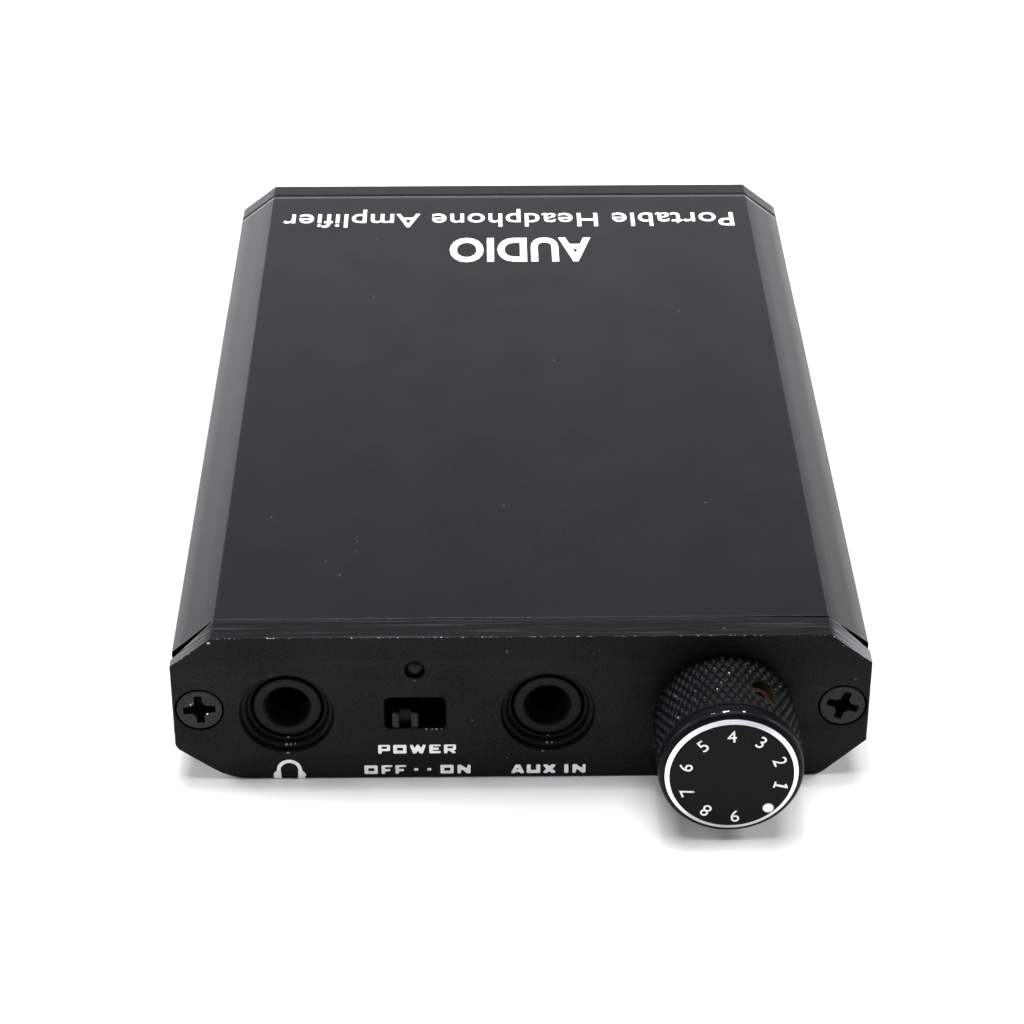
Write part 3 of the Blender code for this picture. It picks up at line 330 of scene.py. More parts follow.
def spot(tree, place, x, depth, z, half_wide, half_high):
    """A soft dot: 1 within an ellipsoid round a point at a depth behind the front, all in mm, and 0 outside it."""
    point = (x * MM, front_y + depth * MM, z * MM)
    moved = node(tree, "ShaderNodeVectorMath", {0: place, 1: point}, operation="SUBTRACT").outputs[0]
    scale = (1 / (half_wide * MM), 1 / (0.12 * MM), 1 / (half_high * MM))
    scaled = node(tree, "ShaderNodeVectorMath", {0: moved, 1: scale}, operation="MULTIPLY").outputs[0]
    far = node(tree, "ShaderNodeVectorMath", {0: scaled}, operation="LENGTH").outputs["Value"]
    return ramp(tree, far, 1.2, 0.6)


def anodised(
    name, dark, light, stretch, roughness, specular, fleck_scale=2600.0, bump=0.25, dusty=0.05, drag=0.3, nicks_and_glints=()
):
    """Dyed anodised aluminium: mottled dark colour, drawn streaks, fine grain, bare metal where it is worn or filed,
    and a little dust. Where the piece's filed value is 1 the black is gone, and the metal shows lengthwise scratches.
    A value below 0 is painted shade: it paints a recess deep black. The listed spots are painted light grey, each as
    (x, depth, z, half width, half height, strength): real nicks of bare metal, and painted glints at the foot of the
    jack recesses' steps."""
    made, tree, shader, place = surface(name, roughness, 0.0, specular)
    grain = use_group(tree, fine_grain, Place=place, Scale=4200.0)
    drawn = use_group(tree, streaks, Place=place, Stretch=stretch)["Value"]
    shade = blend_value(tree, drag, grain["Shade"], drawn)
    base = blend_colour(tree, ramp(tree, shade, 0.3, 0.65), dark, light)
    amount = node(tree, "ShaderNodeAttribute", attribute_name="wear_and_painted_light").outputs["Fac"]
    worn = use_group(tree, edge_wear, Place=place, Wear=amount, Scale=fleck_scale)["Mask"]
    specks = use_group(tree, dust, Place=place, Share=dusty)["Mask"]
    filed = node(tree, "ShaderNodeAttribute", attribute_name="filed").outputs["Fac"]
    scratches = use_group(tree, streaks, Place=place, Stretch=(90.0, 6500.0, 90.0))["Value"]
    reached = maths(tree, "ADD", scratches, maths(tree, "MULTIPLY", filed, 0.5))
    metal = maths(tree, "MULTIPLY", filed, ramp(tree, reached, 0.62, 1.05))
    # Below 0 the value paints shade: recesses go near black and matt.
    painted_recess_shade = ramp(tree, amount, 0.0, -0.6)
    base = blend_colour(tree, painted_recess_shade, base, (0.0004, 0.0004, 0.0005))
    base = blend_colour(tree, metal, base, (0.24, 0.24, 0.25))
    # Light grey spots: real nicks, and painted glints at the foot of the jack recesses' steps.
    for *spot_shape, strength in nicks_and_glints:
        shown = maths(tree, "MULTIPLY", spot(tree, place, *spot_shape), strength)
        base = blend_colour(tree, shown, base, (0.5, 0.5, 0.52))
    base = blend_colour(tree, worn, base, (0.4, 0.4, 0.41))
    base = blend_colour(tree, maths(tree, "MULTIPLY", specks, 0.09), base, (0.55, 0.54, 0.52))
    matt = blend_value(tree, ramp(tree, shade, 0.3, 0.65), roughness + 0.05, roughness - 0.04)
    bare = maths(tree, "MAXIMUM", metal, worn)
    matt = blend_value(tree, bare, blend_value(tree, painted_recess_shade, matt, 0.9), 0.42)
    lift = blend_value(tree, 0.35, grain["Height"], drawn)
    feed(tree, shader, lift, bump, Base_Color=base, Roughness=matt, Metallic=maths(tree, "MULTIPLY", bare, 0.8))
    return made


def port_arc(x_wall):
    """The screw port's round side, from its lower meeting with the side wall to its upper one."""
    start = math.acos((x_wall - port_x) / port_radius)
    turn = -start - (2 * math.pi - 2 * start) * np.linspace(0, 1, 11)
    return np.stack([port_x + port_radius * np.cos(turn), port_z + port_radius * np.sin(turn)], 1).tolist()


rail_x, slot_x, slot_low, slot_high, rail_top = 26.9 * MM, 28.4 * MM, 2.3 * MM, 4.35 * MM, 5.15 * MM
side_x = case_half - wall
hollow_corners = mirrored(
    [
        (rail_x, wall),
        (rail_x, slot_low),
        (slot_x, slot_low),
        (slot_x, slot_high),
        (rail_x, slot_high),
        (rail_x, rail_top),
        (side_x, rail_top),
        *port_arc(side_x),
        (side_x, 12.1 * MM),
        (case_half - 4.6 * MM, case_top - wall),
    ]
)
near_end, far_end = front_y + seam_depth, rear_y - seam_depth
cut_edge = [(0.03, 0.0, 0.3), (0.01, 0.01, 0.6), (0.0, 0.03, 0.5), (0.0, 0.07, 0.0), (0.0, 0.5, 0.0)]
rear_cut = [(0.02, 0.0, 0.1), (0.0, 0.02, 0.1), (0.0, 0.5, 0.0)]
sleeve_profile = [(i * MM, near_end + d * MM, w) for i, d, w in cut_edge]
sleeve_profile += [(i * MM, far_end - d * MM, w) for i, d, w in reversed(rear_cut)]
sleeve_section, sleeve_wear, sleeve_curved = carried(case_corners(), corner_radius, sleeve_profile)
at_left = np.clip((-sleeve_section[..., 0] - 28.5 * MM) / (4 * MM), 0, 1)
askew = at_left * np.clip((sleeve_section[..., 1] - 9 * MM) / (3.5 * MM), 0, 1)
sleeve_section[..., 2] -= 0.8 * MM * askew * (sleeve_section[..., 2] < near_end + 1 * MM)
ends = np.array([near_end, far_end])
hollow = np.array(hollow_corners)
hollow_section = np.stack([np.column_stack([hollow, np.full(len(hollow), y)]) for y in ends])
sleeve = put_mesh(
    "case_sleeve_extrusion",
    *solid(
        (sleeve_section, sleeve_wear, sleeve_curved),
        (hollow_section, np.zeros(2 * len(hollow)), np.zeros(len(hollow), bool)),
        *[ringed((side * port_x, port_z), [(port_bore, y, 0.0) for y in ends], 24) for side in (-1, 1)],
    ),
    upright=True,
)
sleeve_black = anodised(
    "anodised_sleeve",
    (0.0002, 0.0002, 0.0005),
    (0.0092, 0.0092, 0.0098),
    (160.0, 6.0, 160.0),
    0.22,
    0.43,
    bump=0.3,
    dusty=0.03,
    drag=0.12,
)
sleeve.data.materials.append(sleeve_black)
# The sleeve's end faces, seen only through the gaps behind the plates, are painted near black as shade.
end_painted_shade, tree, shader, place = surface("sleeve_end_painted_shade", 0.9, 0.0, 0.03)
grain = use_group(tree, fine_grain, Place=place, Scale=3000.0)
tree.links.new(
    blend_colour(tree, grain["Shade"], (0.0004, 0.0004, 0.0005), (0.0012, 0.0012, 0.0014)), shader.inputs["Base Color"]
)
sleeve.data.materials.append(end_painted_shade)
facing = np.zeros(3 * len(sleeve.data.polygons), np.float32)
sleeve.data.polygons.foreach_get("normal", facing)
sleeve.data.polygons.foreach_set("material_index", (np.abs(facing[1::3]) > 0.75).astype(np.int32))
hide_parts("case_sleeve")
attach(sleeve, "case")

# ---------------------------------------------------------------- front plate
# A 3 mm plate, sawn from flat bar, filed along its upper chamfers and anodised. Each jack sits in a stepped
# recess, and the screws are countersunk. Its back edge was filed away towards the sides, which leaves open wedges.

plate_depth = 3.15 * MM
axis_z = 7.45 * MM
headphone_x, aux_x, volume_x, switch_x = -21.9 * MM, 2.5 * MM, 18.87 * MM, -9.87 * MM
lamp_z, slot_z = 12.33 * MM, 7.5 * MM
face_bevel = [(0.12, 0.0, 0.0), (0.09, 0.006, 0.5), (0.035, 0.035, 0.94), (0.0, 0.11, 0.5), (0.0, 0.3, 0.0)]


def opening_edge(radius, depth, *steps, wear_and_painted_light=0.6):
    """A hole's profile: a broken edge at the face, then the steps given as (radius, depth, wear), all in mm."""
    start = [(radius + 0.06, 0.0, 0.0), (radius + 0.045, 0.004, wear_and_painted_light), (radius, 0.05, wear_and_painted_light)]
    return [(r * MM, front_y + d * MM, w) for r, d, w in [*start, *steps, (steps[-1][0], depth / MM, 0.0)]]


def countersink(depth):
    """A screw hole's profile: a short straight side from the face, the cone, then the plain hole. The cone and the
    hole carry values below 0, painted shade that darkens them near black.
    """
    steps = [(2.34, 0.0, 0.0), (2.33, 0.004, 0.1), (2.3, 0.03, 0.1), (2.3, 0.3, -0.8), (1.45, 1.15, -0.8)]
    return [(r * MM, front_y + d * MM, w) for r, d, w in [*steps, (1.45, depth / MM, 0.0)]]


def jack_recess(depth):
    """Two steps down to the hole round the jack's barrel, with a slightly coned middle step. The walls carry values
    below 0, painted shade that darkens them near black, and the step edges carry wear.
    """
    return opening_edge(
        4.42,
        depth,
        (4.4, 0.2, -0.2),
        (4.38, 0.6, -0.5),
        (4.02, 0.66, 0.0),
        (3.97, 0.7, 0.95),
        (3.93, 0.78, -0.2),
        (3.74, 1.14, -0.5),
        (3.54, 1.18, 0.0),
        (3.49, 1.22, 0.9),
        (3.46, 1.3, -0.8),
        (3.45, 2.2, -1.0),
        wear_and_painted_light=0.85,
    )


def worn_below(section, wear_and_painted_light, curved):
    """The same sweep with its wear kept at the lowest part, where plugs rub: wear * (0.2 + 0.8 * low ** 16), with low
    running from 0 at the top to 1 at the bottom."""
    up = section[..., 1]
    low = (up.max() - up) / np.ptp(up)
    return section, np.where(wear_and_painted_light > 0, wear_and_painted_light * (0.2 + 0.8 * low.ravel() ** 16), wear_and_painted_light), curved


def wedge(x, z):
    """How far the plate's back edge is filed away at a point of its outline. On top it grows over the last
    few millimetres at the right, and down each chamfer it grows to its lower end, then fades down the side."""
    top = case_top - print_height
    on_top = np.clip((x - 20.5 * MM) / (4 * MM), 0, 1) * np.clip((28.4 * MM - x) / (0.8 * MM), 0.3, 1) * 0.5 * MM
    on_top = on_top * (z > top - 0.2 * MM)
    down = np.clip((top - z) / (3.1 * MM), 0, 1)
    start = np.where(x > 0, 0.3, 0.05)
    chamfer = np.clip((down - start) / (1 - start), 0, 1) ** 0.9 * np.where(x > 0, 1.25, 2.05) * MM
    fade = np.clip((z - 6.0 * MM) / (6.9 * MM), 0, 1)
    return np.maximum(on_top, chamfer * np.where(z < top - 3.1 * MM, fade, 1.0))


plate_profile = [(i * MM, front_y + d * MM, w) for i, d, w in face_bevel]
plate_profile += [(0.0, front_y + 2.4 * MM, 0.0), (0.0, front_y + 3.12 * MM, 0.3)]
plate_profile += [(0.02 * MM, front_y + plate_depth, 0.3)]
plate_corners, plate_radii = case_corners(), np.full(8, corner_radius)
plate_corners[6:] = [(-case_half, 3.65 * MM), (-27.5 * MM, 0.0)]
plate_radii[[0, 6, 7]] = 1.6 * MM, 1.0 * MM, 6.0 * MM
plate_section, plate_wear, plate_curved = carried(plate_corners, plate_radii, plate_profile, 0.8 * MM)
filed = wedge(plate_section[0, :, 0], plate_section[0, :, 1])
share = np.clip((plate_section[:, :, 2] - front_y - 0.3 * MM) / (plate_depth - 0.3 * MM), 0, 1)
plate_section[:, :, 2] -= share * filed
on_chamfer = (plate_section[:, :, 1] > 12.7 * MM) & (plate_section[:, :, 1] < case_top - 0.1 * MM)
on_top = plate_section[:, :, 1] >= case_top - 0.1 * MM
chamfer_filed = 0.55 + 0.37 * np.clip((case_top - plate_section[:, :, 1]) / (2.4 * MM), 0, 1)
chamfer_filed *= np.where(plate_section[:, :, 0] > 0, 1.0, 0.8)
plate_filed = np.where(on_chamfer, chamfer_filed, np.where(on_top, 0.25, 0.0))
plate_filed *= plate_section[:, :, 2] > front_y + 0.02 * MM
# The slot's walls carry values below 0: painted shade, near black.
slot_profile = [(-0.08, 0.0, 0.0), (-0.06, 0.005, 0.7), (0.0, 0.06, 0.8), (0.0, 0.2, -0.6)]
slot_profile += [(0.0, plate_depth / MM, -1.0)]
slot_box = ((-2.92, -1.85), (2.84, -1.85), (2.84, 1.75), (-2.92, 1.75))
slot_corners = [(switch_x + x * MM, slot_z + z * MM) for x, z in slot_box]
front_holes = [ringed((side * port_x, port_z), countersink(plate_depth)) for side in (-1, 1)]
front_holes += [worn_below(*ringed((x, axis_z), jack_recess(plate_depth), 96)) for x in (headphone_x, aux_x)]
front_holes.append(ringed((volume_x, axis_z), opening_edge(3.7, plate_depth, (3.7, 1.0, 0.0))))
front_holes.append(ringed((switch_x, lamp_z), opening_edge(0.95, plate_depth, (0.95, 0.5, 0.0)), 40))
slot_sweep = [(i * MM, front_y + d * MM, w) for i, d, w in slot_profile]
front_holes.append(worn_below(*carried(slot_corners, 0.5 * MM, slot_sweep, 1.0 * MM)))
front_plate = put_mesh("front_plate", *solid((plate_section, plate_wear, plate_curved), *front_holes), upright=True)
bare_metal = np.zeros(len(front_plate.data.vertices), np.float32)
bare_metal[: plate_filed.size] = plate_filed.ravel()
front_plate.data.attributes.new("filed", "FLOAT", "POINT").data.foreach_set("value", bare_metal)
front_black = anodised(
    "anodised_front_plate",
    (0.0003, 0.0003, 0.0005),
    (0.0072, 0.0072, 0.008),
    (30.0, 3000.0, 30.0),
    0.5,
    0.1,
    fleck_scale=4300.0,
    bump=0.5,
    dusty=0.09,
    drag=0.15,
    nicks_and_glints=(
        (-28.74, 0.0, 15.5, 0.16, 0.13, 1.0),
        (-23.2, 0.0, 11.7, 0.09, 0.2, 0.1),
        (-22.9, 0.0, 11.9, 0.05, 0.1, 0.12),
        (-4.6, 0.0, 6.6, 0.09, 0.07, 0.12),
        (29.7, 0.0, 14.75, 0.2, 0.07, 0.12),
        (31.0, 0.0, 11.0, 0.13, 0.11, 0.11),
        (-9.87, 0.0, 11.2, 0.12, 0.05, 0.3),
        (-11.75, 0.0, 7.0, 0.09, 0.07, 0.3),
        (-8.9, 0.0, 5.64, 0.09, 0.08, 0.9),
        (-8.35, 0.0, 5.63, 0.08, 0.07, 0.7),
        (-7.95, 0.0, 5.64, 0.11, 0.08, 0.9),
        (-7.5, 0.0, 5.66, 0.07, 0.07, 0.6),
        # The spots from here to the end sit at the foot of the jack recesses' steps: painted glints.
        (-21.95, 0.0, 2.99, 0.16, 0.07, 0.7),
        (-22.1, 0.7, 3.48, 0.14, 0.09, 0.8),
        (-21.7, 0.7, 3.49, 0.09, 0.08, 0.7),
        (-21.3, 0.72, 3.53, 0.08, 0.07, 0.5),
        (-21.95, 1.22, 3.96, 0.14, 0.09, 0.6),
        (2.45, 0.7, 3.48, 0.11, 0.08, 0.6),
        (2.9, 0.7, 3.5, 0.09, 0.08, 0.5),
        (2.0, 0.0, 3.02, 0.1, 0.07, 0.5),
        (2.5, 1.22, 3.96, 0.1, 0.08, 0.4),
    ),
)
front_plate.data.materials.append(front_black)
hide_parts("front_panel")
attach(front_plate, "case")

# ---------------------------------------------------------------- rear plate
# The same plate at the other end, with the charging socket's opening and the charging lamp's hole.

socket_x, charge_lamp_x = 0.0, 10.5 * MM
back_profile = [*plate_profile[:-2], (0.0, front_y + 3.17 * MM, 0.0), (0.02 * MM, front_y + 3.19 * MM, 0.0)]
rear_profile = [(i, rear_y - (y - front_y), w) for i, y, w in reversed(back_profile)]
socket_corners = [(socket_x + x * MM, z * MM) for x, z in ((-4.3, 3.85), (4.3, 3.85), (4.3, 7.35), (-4.3, 7.35))]


def from_the_back(profile):
    """The same profile seen from the rear face, ordered from front to back."""
    return [(r, rear_y - (y - front_y), w) for r, y, w in reversed(profile)]


rear_holes = [ringed((side * port_x, port_z), from_the_back(countersink(plate_depth))) for side in (-1, 1)]
lamp_edge = opening_edge(0.95, plate_depth, (0.95, 0.5, 0.0))
rear_holes.append(ringed((charge_lamp_x, axis_z), from_the_back(lamp_edge), 40))
rear_holes.append(carried(socket_corners, 0.8 * MM, from_the_back(slot_sweep), 1.0 * MM))
rear_plate = put_mesh(
    "rear_plate", *solid(carried(case_corners(), corner_radius, rear_profile, 0.8 * MM), *rear_holes), upright=True
)
rear_plate.data.materials.append(sleeve_black)
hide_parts("rear_panel")
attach(rear_plate, "case")

# ---------------------------------------------------------------- case screws
# Four M2.5 countersunk machine screws of blackened steel, their cross recess punched while the head was forged.
# The thread is rolled, and starts a little below the head.

screw_length = 9.0 * MM


def skin(index):
    """Faces over a grid of point numbers, closed round its second direction. An end row that repeats one number is a
    pole, where the quads become triangles."""
    near, far = index[:-1], index[1:]
    quads = np.stack([near, np.roll(near, -1, 1), np.roll(far, -1, 1), far], -1)
    pole_first, pole_last = index[0, 0] == index[0, 1], index[-1, 0] == index[-1, 1]
    body = quads[1 if pole_first else 0 : len(quads) - 1 if pole_last else len(quads)]
    faces = body.reshape(-1, 4).tolist()
    if pole_first:
        faces += quads[0][:, [0, 2, 3]].tolist()
    if pole_last:
        faces += quads[-1][:, [0, 1, 2]].tolist()
    return faces


def pole_grid(section):
    """Numbers the points of a section array, giving each end row that has shrunk to a point one number. Gives the
    points that are used and the grid of their numbers."""
    stations, count = section.shape[:2]
    index = np.arange(stations * count).reshape(stations, count)
    for row in (0, -1):
        if np.ptp(section[row], axis=0).max() < 1e-7:
            index[row] = index[row, 0]
    used, numbers = np.unique(index, return_inverse=True)
    return section.reshape(-1, 3)[used], numbers.reshape(stations, count)


def cross_recess(across, up):
    """Depth of a cross recess at a point of the head: the deepest of two arms, each 1.5 mm long from the middle and
    narrowing towards its end, and of a cone in the middle."""

    def arm(along, aside):
        wall_share = np.clip(((0.44 * MM - 0.09 * np.abs(along)) - np.abs(aside)) / (0.06 * MM), 0, 1)
        end_share = np.clip((1.5 * MM - np.abs(along)) / (0.25 * MM), 0, 1)
        return np.minimum(wall_share, end_share)

    middle = np.clip((0.8 * MM - np.hypot(across, up)) / (0.15 * MM), 0, 1)
    deep = np.maximum(arm(across, up), arm(up, across))
    return 1.7 * MM * np.maximum(deep, middle) ** 0.8


def screw_mesh(name, x, face_y, outward, turn, rub):
    """A screw as stations by points: over the head from its middle, where the height is minus the cross recess, down
    the cone, then along the shank, whose radius follows a triangle wave wound as a helix."""
    radii = np.concatenate([np.linspace(0, 1.6, 49), [1.75, 1.9, 2.02, 2.09, 2.11, 2.11]]) * MM
    dropped = np.concatenate([np.zeros(52), [0.012, 0.035, 0.25]]) * MM
    count = 96
    angle = np.linspace(0, 2 * math.pi, count, endpoint=False)
    across, up = radii[:, None] * np.cos(angle), radii[:, None] * np.sin(angle)
    sink = cross_recess(across, up) + 0.03 * MM + dropped[:, None]
    head = np.stack([across, up, sink], -1)
    pitch, ridge = 0.45 * MM, 0.13 * MM
    along = np.arange(1.25 * MM, screw_length, pitch / 6)
    wave = np.abs(((along[:, None] / pitch + angle / (2 * math.pi)) % 1) - 0.5) * 2
    fade = np.clip((along - 1.9 * MM) / (0.5 * MM), 0, 1) * np.clip((screw_length - along) / (0.5 * MM), 0, 1)
    radius = 1.14 * MM + ridge * (wave * fade[:, None])
    below = np.broadcast_to(along[:, None], radius.shape)
    shank = np.stack([radius * np.cos(angle), radius * np.sin(angle), below], -1)
    tip = np.zeros((1, count, 3))
    tip[..., 2] = screw_length
    section = np.concatenate([head, shank, tip])
    c, s = math.cos(turn), math.sin(turn)
    local = section.copy()
    section[..., 0] = x + outward * (c * local[..., 0] - s * local[..., 1])
    section[..., 1] = port_z + s * local[..., 0] + c * local[..., 1]
    section[..., 2] = face_y + outward * local[..., 2]
    points, index = pole_grid(section)
    wear_and_painted_light = rub * np.exp(-((np.hypot(points[:, 0] - x, points[:, 1] - port_z) - 0.9 * MM) ** 2) / (0.3 * MM) ** 2)
    # Deeper than 0.3 mm, in the cross recess and down the shank, -1 paints shade near black.
    wear_and_painted_light = np.where(np.abs(points[:, 2] - face_y) > 0.3 * MM, -1.0, wear_and_painted_light)
    return put_mesh(name, points, skin(index), True, wear_and_painted_light, upright=True)


screw_black, tree, shader, place = surface("blackened_steel", 0.36, 0.0, 0.2)
grain = use_group(tree, fine_grain, Place=place, Scale=4500.0)
base = blend_colour(tree, ramp(tree, grain["Shade"], 0.3, 0.65), (0.002, 0.002, 0.0025), (0.016, 0.016, 0.018))
amount = node(tree, "ShaderNodeAttribute", attribute_name="wear_and_painted_light").outputs["Fac"]
# Below -0.1 the value paints shade: the cross recess and the shank go near black.
painted_recess_shade = ramp(tree, amount, -0.1, -0.8)
base = blend_colour(tree, painted_recess_shade, base, (0.0004, 0.0004, 0.0004))
worn = use_group(tree, edge_wear, Place=place, Wear=amount, Scale=2600.0)["Mask"]
base = blend_colour(tree, worn, base, (0.62, 0.56, 0.46))
matt = blend_value(tree, painted_recess_shade, blend_value(tree, grain["Shade"], 0.3, 0.5), 0.95)
feed(tree, shader, grain["Height"], 0.3, Base_Color=base, Metallic=worn, Roughness=matt)

for name, x, face_y, outward, turn, rub in (
    ("front_screw_left", -port_x, front_y, 1, math.radians(4), 0.9),
    ("front_screw_right", port_x, front_y, 1, math.radians(-17), 0.45),
    ("rear_screw_left", port_x, rear_y, -1, math.radians(35), 0.6),
    ("rear_screw_right", -port_x, rear_y, -1, math.radians(4), 0.7),
):
    screw = screw_mesh(name + "_forged", x, face_y, outward, turn, rub)
    screw.data.materials.append(screw_black)
    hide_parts(name)
    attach(screw, "case")

# ---------------------------------------------------------------- jacks
# Each 3.5 mm jack is moulded in black plastic: a round barrel with a coned mouth, and a squarish body behind it that
# stands on the board. Its tinned collar and contact springs are the CAD's own; the collar, deep in the bore, is
# painted near black as shade.

jack_profile = [(0.0, 14.05), (1.8, 14.05), (1.8, 6.05), (1.96, 5.95), (1.97, 0.42), (2.0, 0.34), (2.24, 0.08)]
jack_profile += [(2.34, 0.0), (3.08, 0.0), (3.16, 0.03), (3.2, 0.12), (3.2, 2.4)]
jack_body = [(3.85, 3.05, 2.45), (4.0, 3.2, 2.6), (4.0, 3.2, 14.8), (3.85, 3.05, 14.95), (0.0, 0.0, 14.95)]


def jack_mesh(name, x):
    """Circles along the bore, over the mouth and down the barrel, then squarish loops along the body. A squarish loop
    is (a * sign(cos) * |cos| ** p, b * sign(sin) * |sin| ** p), with p small."""
    count = 96
    angle = np.linspace(0, 2 * math.pi, count, endpoint=False)
    barrel_y = front_y + 1.15 * MM
    rounds = ringed((0.0, 0.0), [(r * MM, barrel_y + d * MM, 0.0) for r, d in jack_profile], count)[0]
    body = np.array(jack_body) * MM
    power = 0.16
    square_x = np.sign(np.cos(angle)) * np.abs(np.cos(angle)) ** power
    square_z = np.sign(np.sin(angle)) * np.abs(np.sin(angle)) ** power
    depth = np.broadcast_to(barrel_y + body[:, 2:], (len(body), count))
    squares = np.stack([body[:, :1] * square_x, body[:, 1:2] * square_z, depth], -1)
    section = np.concatenate([rounds, squares])
    section[..., 0] += x
    section[..., 1] += axis_z
    points, index = pole_grid(section)
    return put_mesh(name, points, skin(index), True, upright=True)


jack_plastic, tree, shader, place = surface("jack_plastic", 0.42, 0.0, 0.13)
grain = use_group(tree, fine_grain, Place=place, Scale=3000.0)
base = blend_colour(tree, ramp(tree, grain["Shade"], 0.2, 0.65), (0.0016, 0.0016, 0.0018), (0.003, 0.003, 0.0033))
from_front = node(tree, "ShaderNodeSeparateXYZ", {"Vector": place}).outputs["Y"]
in_bore = ramp(tree, from_front, front_y + 1.3 * MM, front_y + 1.9 * MM)
matt = maths(tree, "MAXIMUM", blend_value(tree, grain["Shade"], 0.34, 0.5), maths(tree, "MULTIPLY", in_bore, 0.95))
feed(tree, shader, grain["Height"], 0.2, Base_Color=base, Roughness=matt)

for label, x in (("headphone", headphone_x), ("aux", aux_x)):
    jack = jack_mesh(label + "_jack_moulding", x)
    jack.data.materials.append(jack_plastic)
    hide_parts(label + "_jack_housing")
    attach(jack, "case")

# ---------------------------------------------------------------- power switch
# A small slide switch with a tinned frame, which is painted near black here as the shade inside the slot. The
# slider's nub is black plastic with two ribs, and stands almost flush with the front plate; the fronts of its ribs
# are painted lighter as the light that falls on them. It is at the left, which is off.

slider_x = switch_x - 1.0 * MM
nub_low, nub_high = 5.72 * MM, 7.4 * MM


def block(corners, radius, low, high, soften=0.06 * MM):
    """A rounded outline in X and Y, closed between two heights, its top and bottom edges cut by 45 degrees."""
    profile = [(soften, low, 0.0), (0.0, low + soften, 0.0), (0.0, high - soften, 0.0), (soften, high, 0.0)]
    return solid(carried(corners, radius, profile, 1.0 * MM))


def joined(*meshes):
    """Several closed bodies as one mesh."""
    starts = np.cumsum([0] + [len(m[0]) for m in meshes[:-1]])
    return (
        np.concatenate([m[0] for m in meshes]),
        [[s + n for n in face] for s, m in zip(starts, meshes) for face in m[1]],
        [flag for m in meshes for flag in m[2]],
        np.concatenate([m[3] for m in meshes]),
    )


nub_front, groove_back, block_front, block_back = (front_y + d * MM for d in (0.1, 0.75, 3.9, 5.55))
nub_half, groove_half, body_half = 1.22 * MM, 0.56 * MM, 2.15 * MM
nub_corners = [
    (slider_x + x, y)
    for x, y in (
        (-nub_half, nub_front),
        (-groove_half, nub_front),
        (-groove_half, groove_back),
        (groove_half, groove_back),
        (groove_half, nub_front),
        (nub_half, nub_front),
        (nub_half, block_front + 0.3 * MM),
        (-nub_half, block_front + 0.3 * MM),
    )
]
body_corners = [
    (slider_x + x, y)
    for x, y in ((-body_half, block_front), (body_half, block_front), (body_half, block_back), (-body_half, block_back))
]
nub_body = joined(
    block(nub_corners, 0.1 * MM, nub_low, nub_high, 0.08 * MM), block(body_corners, 0.2 * MM, 4.75 * MM, 7.8 * MM)
)
# The rib fronts are painted lighter, as the light falling on them; the groove floor and the rest stay dark.
painted_lit_fronts = (nub_body[0][:, 1] < nub_front + 0.3 * MM).astype(float)
slider = put_mesh("power_switch_nub", *nub_body[:3], painted_lit_fronts)
switch_plastic, tree, shader, place = surface("switch_plastic", 0.45, 0.0, 0.12)
grain = use_group(tree, fine_grain, Place=place, Scale=3500.0)
dull = blend_colour(tree, ramp(tree, grain["Shade"], 0.2, 0.65), (0.001, 0.001, 0.0012), (0.003, 0.003, 0.0033))
# Painted light: the lit colour of the rib fronts.
painted_lit_colour = blend_colour(tree, ramp(tree, grain["Height"], 0.35, 0.65), (0.014, 0.014, 0.0145), (0.03, 0.03, 0.031))
amount = node(tree, "ShaderNodeAttribute", attribute_name="wear_and_painted_light").outputs["Fac"]
base, matt = blend_colour(tree, amount, dull, painted_lit_colour), blend_value(tree, grain["Shade"], 0.38, 0.55)
feed(tree, shader, grain["Height"], 0.25, Base_Color=base, Roughness=matt)
slider.data.materials.append(switch_plastic)
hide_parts("power_switch_slider")
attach(slider, "slider")

# ---------------------------------------------------------------- lamps
# Two small lamps cast in clear resin that has gone milky, one behind each plate. Each has a round nose and a flange.


def lamp_mesh(name, x, z, face_y, inward):
    """A dome, a straight side and a flange as circles round the lamp's axis: radius r * cos(t), depth r * (1 - sin(t))
    over the dome."""
    t = np.linspace(math.pi / 2, 0, 9)
    dome = np.stack([0.84 * np.cos(t), 0.14 + 0.4 * (1 - np.sin(t))], 1)
    rest = np.array([(0.84, 3.35), (1.14, 3.4), (1.2, 3.46), (1.2, 4.1), (1.1, 4.2), (0.0, 4.2)])
    profile = np.concatenate([dome, rest]) * MM
    profile[0, 0] = 0.0
    angle = np.linspace(0, 2 * math.pi, 40, endpoint=False)
    section = np.stack(
        [
            x + inward * profile[:, :1] * np.cos(angle),
            z + profile[:, :1] * np.sin(angle),
            np.broadcast_to(face_y + inward * profile[:, 1:], (len(profile), 40)),
        ],
        -1,
    )
    points, index = pole_grid(section)
    return put_mesh(name, points, skin(index), True, upright=True)


lamp_resin, tree, shader, place = surface("lamp_resin", 0.3, 0.0, 0.08)
cloud = use_group(tree, fine_grain, Place=place, Scale=2400.0)
tree.links.new(
    blend_colour(tree, ramp(tree, cloud["Shade"], 0.2, 0.7), (0.002, 0.002, 0.0022), (0.007, 0.007, 0.007)),
    shader.inputs["Base Color"],
)
tree.links.new(blend_value(tree, cloud["Shade"], 0.18, 0.3), shader.inputs["Roughness"])
shader.inputs["Transmission Weight"].default_value = 0.1

for label, x, z, face_y, inward in (
    ("power", switch_x, lamp_z, front_y, 1),
    ("charge", charge_lamp_x, axis_z, rear_y, -1),
):
    lamp = lamp_mesh(label + "_lamp_dome", x, z, face_y, inward)
    lamp.data.materials.append(lamp_resin)
    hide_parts(label + "_lamp_lens")
    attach(lamp, "case")

# ---------------------------------------------------------------- volume knob
# The knob is turned from aluminium bar: its side is diamond knurled and anodised black, a groove parts it from a
# smooth rim, and the rim's front corner is cut bright after anodising. A cross hole holds the set screw.

